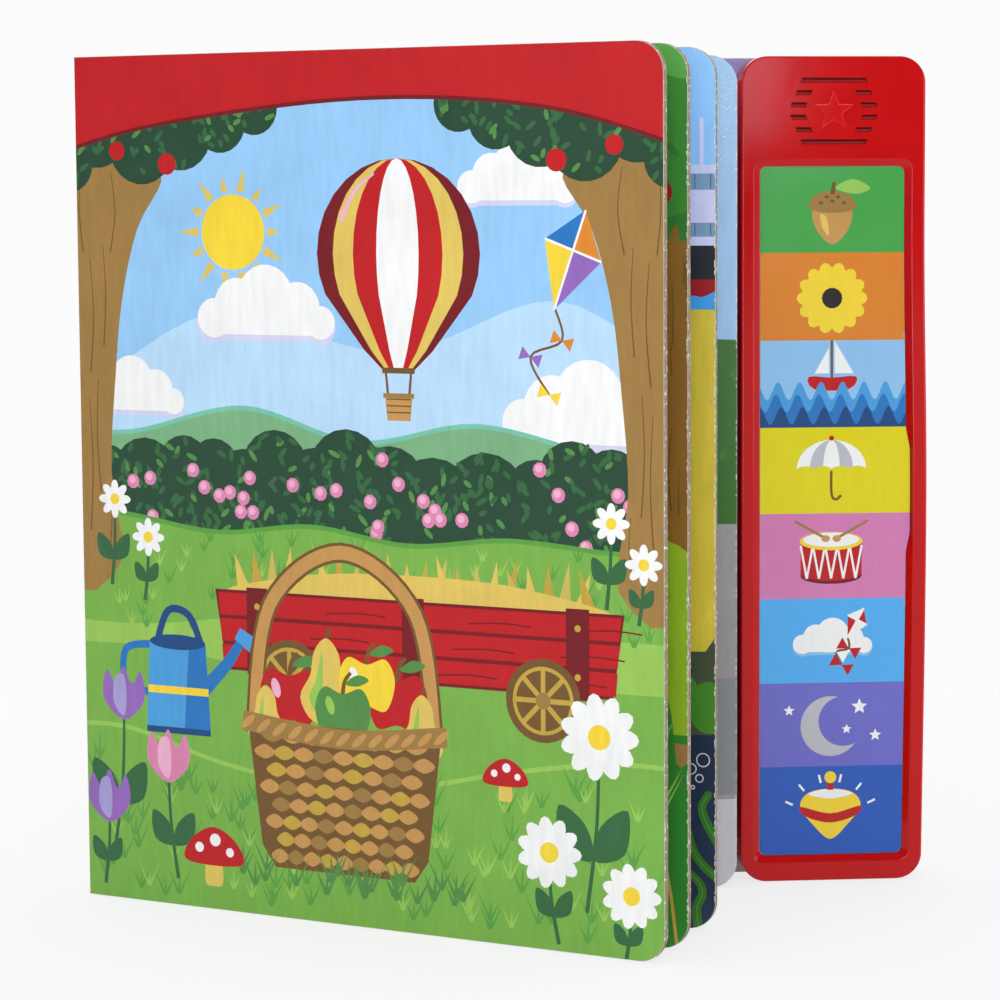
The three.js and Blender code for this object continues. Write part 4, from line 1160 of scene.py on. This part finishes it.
MEADOW = [("sky", "sky", 0), ("hill", "mint", 150), ("grass", "grass_light", 118),
          ("lime", "grass_light", 60)]
PAGES = [
    (orchard_page(), page_art(12, MEADOW, extras=((tree(), 50, 60, 0.9), (balloon(20), 140, 190, 1.0)))),
    (shore_page(), page_art(14, MEADOW, extras=((cart(), 100, 50, 0.9), (sun(12), 40, 210, 1.0)))),
    (park_page(), page_art(16, MEADOW, extras=((fruit_basket(), 100, 20, 0.9), (kite(14), 150, 200, 1.0)))),
]
for i, (matrix, (front, back)) in enumerate(zip(LEAF_FRAMES, PAGES)):
    leaf_card(f"leaf_{i + 1}", LEAF_WIDTH, matrix, "book", front, back, ("pages",))


# Rear board and spine
BOARD_LEFT = -(COVER_WIDTH + STRIP_OFFSET)
BOARD_WIDTH = STRIP_WIDTH - INSET - BOARD_LEFT
BOARD_FRAME = turned((BOARD_LEFT, 0.0), 0.0)
DOOR_X = -BOARD_LEFT + STRIP_WIDTH / 2
APERTURE = rectangle(DOOR_X - BOX_HALF[0] - DOOR_GAP, BOX_Z - BOX_HALF[1] - DOOR_GAP,
                     DOOR_X + BOX_HALF[0] + DOOR_GAP, BOX_Z + BOX_HALF[1] + DOOR_GAP)


def board_front_art():
    """Lavender lining with a pale foot behind the leaves, and above it a dark navy field painted as the shade
    that falls in the gap between the leaves and the strip.
    """
    a = lining_art(BOARD_WIDTH)
    left = BOARD_WIDTH - STRIP_WIDTH - 14
    # Painted shade: a dark navy field where the gap between the last leaf and the strip lies in shade.
    a.add("night", rectangle(left, -5, BOARD_WIDTH + 5, HEIGHT - 24))
    a.add("path_light", rectangle(left, -5, BOARD_WIDTH + 5, 12))
    return a


def board_back_art():
    """A meadow under a red band."""
    a = page_art(21, MEADOW, BOARD_WIDTH, ((balloon(24), 118, 186, 1.0), (cloud(), 52, 204, 1.2),
                                           (cloud(), 210, 170, 1.0), (tree(), 200, 60, 0.9),
                                           (fruit_basket(), 120, 24, 0.8)))
    a.add("red", rectangle(-5, 238, BOARD_WIDTH + 5, 260))
    return a


def board():
    def outline(inset):
        return card_outline(BOARD_WIDTH, inset, ROOT_RADIUS, STRIP_RADIUS, STRIP_RADIUS)

    card("board_card", outline, LEAF, BOARD_FRAME, "book", ("back_cover",), APERTURE)
    skin("board_front", outline(CUT), board_front_art(), BOARD_FRAME, "book", APERTURE)
    skin("board_back", mirrored(outline(CUT), BOARD_WIDTH), board_back_art(),
         behind(BOARD_FRAME, BOARD_WIDTH, LEAF), "book", mirrored(APERTURE, BOARD_WIDTH))


def spine_strip():
    """Spine card and its paper, leaning with the fanned leaves."""
    shell = Shell()
    section = [spine_point(-LEAF / math.cos(LEAN)), spine_point(-0.4, SPINE),
               spine_point(LEAF_STEPS[0], SPINE), spine_point(COVER_STEP - 0.5, 0.25),
               spine_point(COVER_STEP - 0.05)]
    for z in (0.0, HEIGHT * MM):
        shell.points.extend(((x + ORIGIN[0]) * MM, (y + ORIGIN[1]) * MM, z) for x, y in section)
    n = len(section)
    shell.faces += [(i, (i + 1) % n, (i + 1) % n + n, i + n) for i in range(n)]
    shell.faces += [tuple(range(n))[::-1], tuple(range(n, 2 * n))]
    look = plain_material("spine_paper", (190, 30, 36), 0.4, grain=500, strength=0.08)
    finished("spine_strip", shell.mesh("spine_strip"), Matrix(), look, "book", ("back_cover",))


board()
spine_strip()


# Sound strip
def bow_at(z):
    """How far the strip's right side stands out at a height."""
    depth, middle, above, below = BOW
    t = min(abs(z - middle) / (above if z > middle else below), 1.0)
    return depth * math.cos(0.5 * math.pi * t) ** 2


def swell_at(z):
    _, low, high, rise = SWELL
    t = max(0.0, min((z - low) / rise, (high - z) / rise, 1.0))
    return t * t * (3 - 2 * t)


# Heights of the points down the bowed side, close together where the swell starts and ends
SIDE_HEIGHTS = [*range(14, 100, 8), *range(100, 113), 120, 127, *range(132, 145), *range(150, 215, 8)]


def bowed_outline(x0, z0, x1, z1, radius, swell=0.0, n=8):
    """Rounded upright outline whose right side has the bow, and the window's swell if asked."""
    corners = rounded(x0, z0, x1, z1, [radius] * 4, n)
    side = [(x1 + swell * swell_at(z), z) for z in SIDE_HEIGHTS]
    points = corners[:2 * (n + 1)] + side + corners[2 * (n + 1):]
    middle = (x0 + x1) / 2
    return [(x + bow_at(z) if x > middle else x, z) for x, z in points]


def window_outline(margin, swell=0.0):
    return bowed_outline(WINDOW[0] - margin, WINDOW[1] - margin, WINDOW[2] + margin, WINDOW[3] + margin,
                         WINDOW_RADIUS + margin * 0.5, swell)


def about_star(points):
    return [(STRIP_WIDTH / 2 + x, STAR_Z + z) for x, z in points]


def slot_outlines(low, high, grow=0.0):
    """Slots of the grille, from a share of the slot's height to another: two whole rows, four broken."""
    out = []
    for row in range(6):
        middle = (2.5 - row) * ROW_PITCH
        z0, z1 = middle + low * SLOT - grow, middle + high * SLOT + grow
        outer = [SLOT_END - SLOT_END_SLOPE * abs(z) + grow for z in (z0, z1)]
        inner = [SLOT_START - SLOT_START_SLOPE * abs(z) - grow for z in (z0, z1)]
        if row in (0, 5):
            out.append([(-outer[0], z0), (outer[0], z0), (outer[1], z1), (-outer[1], z1)])
        else:
            out.append([(-outer[0], z0), (-inner[0], z0), (-inner[1], z1), (-outer[1], z1)])
            out.append([(inner[0], z0), (outer[0], z0), (outer[1], z1), (inner[1], z1)])
    return [about_star(shape) for shape in out]


def star_outline(radius):
    reaches = [(radius if i % 2 == 0 else STAR_WAIST * radius, i * math.pi / 5) for i in range(10)]
    return about_star([(reach * math.sin(-t), reach * math.cos(t)) for reach, t in reaches])


def dish_outline(grow):
    """Six-sided field that the slots lie in, with eased corners."""
    a, b, h = 10.6 + grow * 0.8, 15.4 + grow * 1.1, 11.3 + grow
    corners = [(-a, -h), (a, -h), (b, 0), (a, h), (-a, h), (-b, 0)]
    points = []
    for i, (x, z) in enumerate(corners):
        for other, way in ((corners[i - 1], 1), (corners[(i + 1) % 6], -1)):
            reach = 1.6 / math.hypot(other[0] - x, other[1] - z)
            end = (x + (other[0] - x) * reach, z + (other[1] - z) * reach)
            near = (x + (other[0] - x) * reach * 0.35, z + (other[1] - z) * reach * 0.35)
            middle = (near[0] * 0.8 + x * 0.2, near[1] * 0.8 + z * 0.2)
            points.extend([end, middle][::way])
    return about_star(points)


def casing_mesh():
    """Front casing: rounded edge, bevelled window, and a shallow dish with the slots and the star."""
    shell = Shell()
    front, back = -STRIP_DEPTH, -STRIP_DEPTH + FACE
    floor, groove = front + DISH, front + GROOVE

    def outline(inset):
        return bowed_outline(inset, inset, STRIP_WIDTH - inset, HEIGHT - inset, STRIP_RADIUS - inset, n=14)

    levels = [(EDGE_RADIUS + 0.12, front)]
    for k in range(EDGE_STEPS + 1):
        t = 0.5 * math.pi * k / EDGE_STEPS
        levels.append((EDGE_RADIUS * (1 - math.sin(t)), front + EDGE_RADIUS * (1 - math.cos(t))))
    levels += [(0.0, -GAP - 0.2), (0.2, -GAP), (WALL, -GAP), (WALL, back)]
    side = shell.rings((outline(inset), depth) for inset, depth in levels)
    shell.walls(side)

    slope = RECESS / BEVEL
    levels = [(BEVEL + 0.42, 0.0, 0.0), (BEVEL + 0.3, 0.0, 0.0), (BEVEL + 0.12, 0.0, 0.02),
              (BEVEL - 0.06, 0.0, 0.1), (BEVEL - 0.25, 0.0, 0.25 * slope + 0.02),
              (0.2, SWELL[0] * 0.9, RECESS - 0.2 * slope), (0.0, SWELL[0], RECESS), (0.0, SWELL[0], FACE)]
    window = shell.rings((window_outline(margin, swell), front + depth) for margin, swell, depth in levels)
    shell.walls(window, outward=False)

    levels = ((2.0, front), (1.9, front), (0.4, floor), (0.3, floor))
    dish = shell.rings((dish_outline(grow), depth) for grow, depth in levels)
    shell.walls(dish, outward=False)
    mouths, throats = [], []
    for mouth, lip, foot, slit in zip(*(slot_outlines(*size) for size in SLOT_SIZES)):
        bowl = shell.rings([(mouth, floor), (lip, floor + 0.1), (foot, groove)])
        throat = shell.rings([(slit, groove), (slit, back)])
        shell.walls(bowl, outward=False)
        shell.fill(bowl[-1], throat[:1])
        shell.walls(throat, outward=False)
        mouths.append(bowl[0])
        throats.append(throat[-1])
    levels = ((0.3, 0.0), (0.22, 0.0), (-0.35, STAR_RISE), (-0.43, STAR_RISE))
    star = shell.rings((star_outline(STAR_RADIUS + grow), floor - rise) for grow, rise in levels)
    shell.walls(star)

    shell.fill(side[0], [window[0], dish[0]])
    shell.fill(dish[-1], [star[0], *mouths])
    shell.fill(star[-1])
    shell.fill(side[-1], [window[-1], *throats], front=False)
    mesh = shell.mesh("casing_shell", 38.0)
    for look in (RED, RED_LIP_HIGHLIGHT, RED_GROOVE_SHADE, RED_STAR):
        mesh.materials.append(look)
    for face in mesh.polygons:
        face.material_index = casing_look(face, front)
    return mesh


def casing_look(face, front):
    """Which of the five reds a face has: 0 face, 1 a lighter red painted as a highlight on the front edge and
    the star's bevels, 2 a darker red painted as shade in the slots, 3 star, 4 a brighter red painted as light
    on the sides.
    """
    x, depth, z = face.center.x / MM, face.center.y / MM - front, face.center.z / MM
    across, up = abs(x - STRIP_WIDTH / 2), abs(z - STAR_Z)
    # Sides: a brighter red painted as light.
    if abs(face.normal.y) < 0.5 and (x < 0.1 or x > STRIP_WIDTH - 0.1):
        return 4
    # Front edge: a lighter red painted as a highlight line.
    if 0.05 < depth < 0.45 and (x < EDGE_RADIUS or x > STRIP_WIDTH - EDGE_RADIUS):
        return 1
    # Slots: a darker red painted as shade.
    if across < 15 and up < 11 and depth > 0.4:
        return 2
    # Star: its bevels in the lighter red painted as highlight.
    if max(across, up) < STAR_RADIUS + 0.4 and depth < DISH - 0.002:
        return 1 if abs(face.normal.y) < 0.98 else 3
    return 0


finished("casing_shell", casing_mesh(), STRIP_FRAME, RED_SIDE_LIT, "book", ("front_casing",))


# Film: a flat border, and a crowned patch over each key
def field_bounds():
    """Heights where the printed fields meet, which lie slightly low at mid height."""
    edges = [WINDOW[3] - FILM_GAP] + [FIRST_KEY - (i + 0.5) * KEY_PITCH for i in range(7)]
    return [z - math.sin(math.pi * k / 8) for k, z in enumerate(edges)] + [WINDOW[1] + FILM_GAP]


FIELD_EDGES = field_bounds()
FILM_MIDDLE = (WINDOW[0] + WINDOW[2]) / 2
FILM_HEIGHTS = sorted(SIDE_HEIGHTS + [n + 0.15 * k for n in NICKS for k in range(-8, 9)])
FILM_FRAME = STRIP_FRAME @ Matrix.Translation((0, (-STRIP_DEPTH + RECESS) * MM, 0))


def film_edge(z):
    """The film's right edge at a height, with its two half-moon nicks."""
    nick = max(math.sqrt(max(NICK_RADIUS ** 2 - (z - n) ** 2, 0)) - NICK_OFFSET for n in NICKS)
    return WINDOW[2] - FILM_GAP + bow_at(z) + SWELL[0] * swell_at(z) - max(nick, 0.0)


def film_outline(z0, z1):
    """The part of the film between two heights, rounded where it meets the window's corners."""
    left = WINDOW[0] + FILM_GAP
    ends = WINDOW[1] + 4, WINDOW[3] - 4
    points = [(left, z0), (film_edge(z0), z0)]
    if z0 < ends[0]:
        points = rounded(left, z0, film_edge(z0), z0 + 8, [WINDOW_RADIUS] * 4, 5)[:12]
    low, high = max(z0 + 0.2, ends[0]), min(z1 - 0.2, ends[1])
    points += [(film_edge(z), z) for z in FILM_HEIGHTS if low < z < high]
    if z1 > ends[1]:
        return points + rounded(left, z1 - 8, film_edge(z1), z1, [WINDOW_RADIUS] * 4, 5)[12:]
    return points + [(film_edge(z1), z1), (left, z1)]


def film_field(i, ink, motif, scale):
    name = f"film_field_{i + 1}"
    high, low = FIELD_EDGES[i], FIELD_EDGES[i + 1]
    middle = (high + low) / 2
    key_z = FIRST_KEY - i * KEY_PITCH
    art = Art()
    art.add(ink, rectangle(WINDOW[0] - 3, low - 3, WINDOW[2] + 5, high + 3))
    art.put(motif(), FILM_MIDDLE, middle - (0.5 if i else 1.5), scale)

    def crown(x, z):
        across = max(0.0, 1 - ((x - FILM_MIDDLE) / CROWN_HALF[0]) ** 4)
        upright = max(0.0, 1 - ((z - key_z) / CROWN_HALF[1]) ** 4)
        return CROWN * across * upright

    rows = [middle + (j - 6) * 2.0 for j in range(13)]
    rows = [z for z in rows if low + 0.6 < z < high - 0.6]
    grid = [(FILM_MIDDLE + (k - 10) * 2.1, z + 0.01 * k) for k in range(21) for z in rows]
    mesh = picture_mesh(name, film_outline(low, high), art, grid=grid, lift=crown)
    mesh.shade_smooth()
    field = finished(name, mesh, FILM_FRAME, FILM, "book", ("button_film",))
    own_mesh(field)


for i, (ink, motif, scale) in enumerate(FIELDS):
    film_field(i, ink, motif, scale)


# CAD nodes that stay as they are: name, colour, roughness, metallic, grain and bump of each slot's material
NODE_LOOKS = {
    "white_moulding": ("white_moulding", (226, 226, 222), 0.5, 0.0, 400, 0.06),
    "grey_rubber": ("grey_rubber", (76, 78, 80), 0.8, 0.0, 600, 0.15),
    "circuit_green": ("circuit_green", (40, 104, 58), 0.45, 0.0, 300, 0.12),
    "black_epoxy": ("black_epoxy", (20, 20, 22), 0.3, 0.0, 120, 0.1),
    "foam": ("foam", (34, 35, 38), 0.95, 0.0, 1200, 0.6),
    "speaker_steel": ("speaker_steel", (180, 182, 186), 0.35, 1.0, 500, 0.1),
    "speaker_cone": ("speaker_cone_paper", (28, 28, 30), 0.85, 0.0, 900, 0.3),
    "magnet": ("magnet_plate", (92, 94, 98), 0.45, 1.0, 400, 0.1),
    "lead_black": ("lead_jacket", (30, 34, 42), 0.5, 0.0, 500, 0.05),
    "nickel_strip": ("nickel_strip", (202, 198, 184), 0.3, 1.0, 500, 0.08),
    "screw_steel": ("screw_zinc", (180, 184, 188), 0.32, 1.0, 500, 0.1),
    "cell_steel": ("cell_can", (200, 200, 202), 0.25, 1.0, 500, 0.05),
    "red_casing": ("matt_red", (186, 16, 22), 0.42, 0.0, 420, 0.12),
}
NODE_LOOKS = {slot: plain_material(*values) for slot, values in NODE_LOOKS.items()}
for entry in frame["record"]["subparts"]:
    look = NODE_LOOKS.get(entry["material_slot"])
    node = frame["nodes"][entry["node"]]
    if look and not node.hide_render:
        if not node.material_slots:
            node.data.materials.append(look)
        for holder in node.material_slots:
            holder.link = "OBJECT"
            holder.material = look


# Stage, lamps and camera, in metres
WHITE = opaque((252, 252, 252))
ROOM_LEVEL = 0.16
BACKDROP_LEVEL = 0.97
SHADOW_REACH = (0.1, 0.5)


def floor_material():
    """White paper that keeps a pale shadow near the object and runs into the white beyond it."""
    def build(graph, shader):
        tint = graph.varied(opaque((246, 246, 247)), graph.noise(40, 3), 0.997, 1.003)
        graph.plug(shader.inputs["Base Color"], tint)
        shader.inputs["Roughness"].default_value = 0.8
        shader.inputs["Specular IOR Level"].default_value = 0.1
        away = graph.add("VectorMath", graph.place())
        away.operation = "LENGTH"
        away = away.outputs["Value"]
        # Near the object the glow is a little over white, a painted brightening of the floor there; it eases
        # to plain white beyond.
        glow = graph.add("Emission", WHITE, graph.ranged(away, 1.035, 1.0, *SHADOW_REACH))
        share = graph.ranged(away, 0.75, 1.0, *SHADOW_REACH, "SMOOTHSTEP")
        lit = shader.outputs["BSDF"]
        paper = graph.add("MixShader", share, lit, glow.outputs[0])
        mix = graph.add("MixShader", graph.seen(), lit, paper.outputs[0])
        graph.feed(graph.nodes["Material Output"], Surface=mix.outputs[0])
    return material("floor_paper", build)


def stage():
    bpy.ops.mesh.primitive_plane_add(size=12, location=(0, 0, -0.0002))
    floor = bpy.context.object
    floor.name = "floor"
    floor.data.materials.append(floor_material())


def world():
    """White backdrop behind the object, and a darker room in front of it for the gloss to show."""
    w = bpy.data.worlds.new("studio")
    bpy.context.scene.world = w
    graph = Graph(w)
    room = graph.nodes["Background"]
    along = graph.add("SeparateXYZ", graph.place("Generated")).outputs["Y"]
    level = graph.ranged(along, ROOM_LEVEL, BACKDROP_LEVEL, -0.45, 0.55, "SMOOTHSTEP")
    graph.feed(room, Color=(1, 1, 1, 1), Strength=level)
    white = graph.add("Background", WHITE)
    seen = graph.seen(graph.ranged(along, 0.0, 1.0, -0.1, 0.4, "SMOOTHSTEP"))
    mix = graph.add("MixShader", seen, room.outputs[0], white.outputs[0])
    graph.feed(graph.nodes["World Output"], Surface=mix.outputs[0])


def lamp(name, place, aim, size, watts, colour=(1, 1, 1)):
    data = bpy.data.lights.new(name, "AREA")
    data.shape = "RECTANGLE"
    data.size, data.size_y = size
    data.energy = watts
    data.color = colour
    item = linked(name, data)
    item.location = place
    item.rotation_euler = (Vector(aim) - Vector(place)).to_track_quat("-Z", "Y").to_euler()


# The photograph's view: angles in degrees, focal length and width in pixels, place in millimetres
YAW, PITCH, ROLL = 5.03, 5.53, -0.25
FOCAL_LENGTH = 3133
PICTURE_WIDTH = 1000
SENSOR_WIDTH = 36
CAMERA_SHIFT = (-0.0745, -0.0007)
CAMERA_PLACE = (-134.75, -962.35, 212.1)


def camera():
    """A camera fitted to the object's edges in the photograph."""
    yaw, pitch, roll = (math.radians(angle) for angle in (YAW, PITCH, ROLL))
    side = Vector((math.cos(yaw), -math.sin(yaw), 0))
    ahead = Vector((math.sin(yaw) * math.cos(pitch), math.cos(yaw) * math.cos(pitch), -math.sin(pitch)))
    rise = side.cross(ahead)
    right = math.cos(roll) * side + math.sin(roll) * rise
    up = math.cos(roll) * rise - math.sin(roll) * side
    data = bpy.data.cameras.new("camera")
    data.sensor_width = SENSOR_WIDTH
    data.lens = FOCAL_LENGTH * SENSOR_WIDTH / PICTURE_WIDTH
    data.shift_x, data.shift_y = CAMERA_SHIFT
    data.clip_start = 0.05
    item = linked("camera", data)
    x, y, z = CAMERA_PLACE
    place = Vector(((x + ORIGIN[0]) * MM, (y + ORIGIN[1]) * MM, z * MM))
    item.matrix_world = Matrix.Translation(place) @ Matrix((right, up, -ahead)).transposed().to_4x4()
    bpy.context.scene.camera = item


stage()
world()
lamp("main_softbox", (0.055, -0.93, 0.45), (0.055, 0.0, 0.45), (0.36, 0.40), 2.25, (0.84, 0.88, 1.0))
lamp("left_softbox", (-1.0, -0.75, 0.8), (-0.05, 0.0, 0.12), (0.6, 0.9), 3.2)
lamp("front_fill", (-0.2, -1.25, 0.12), (0.05, 0.0, 0.1), (0.4, 0.4), 3.2)
lamp("right_softbox", (1.0, -1.1, 0.2), (0.08, 0.0, 0.1), (0.8, 0.6), 4.3)
lamp("top_softbox", (0.1, -0.15, 1.3), (0.0, 0.0, 0.0), (1.0, 0.8), 4.5)
camera()
bpy.context.scene.view_settings.view_transform = "Standard"
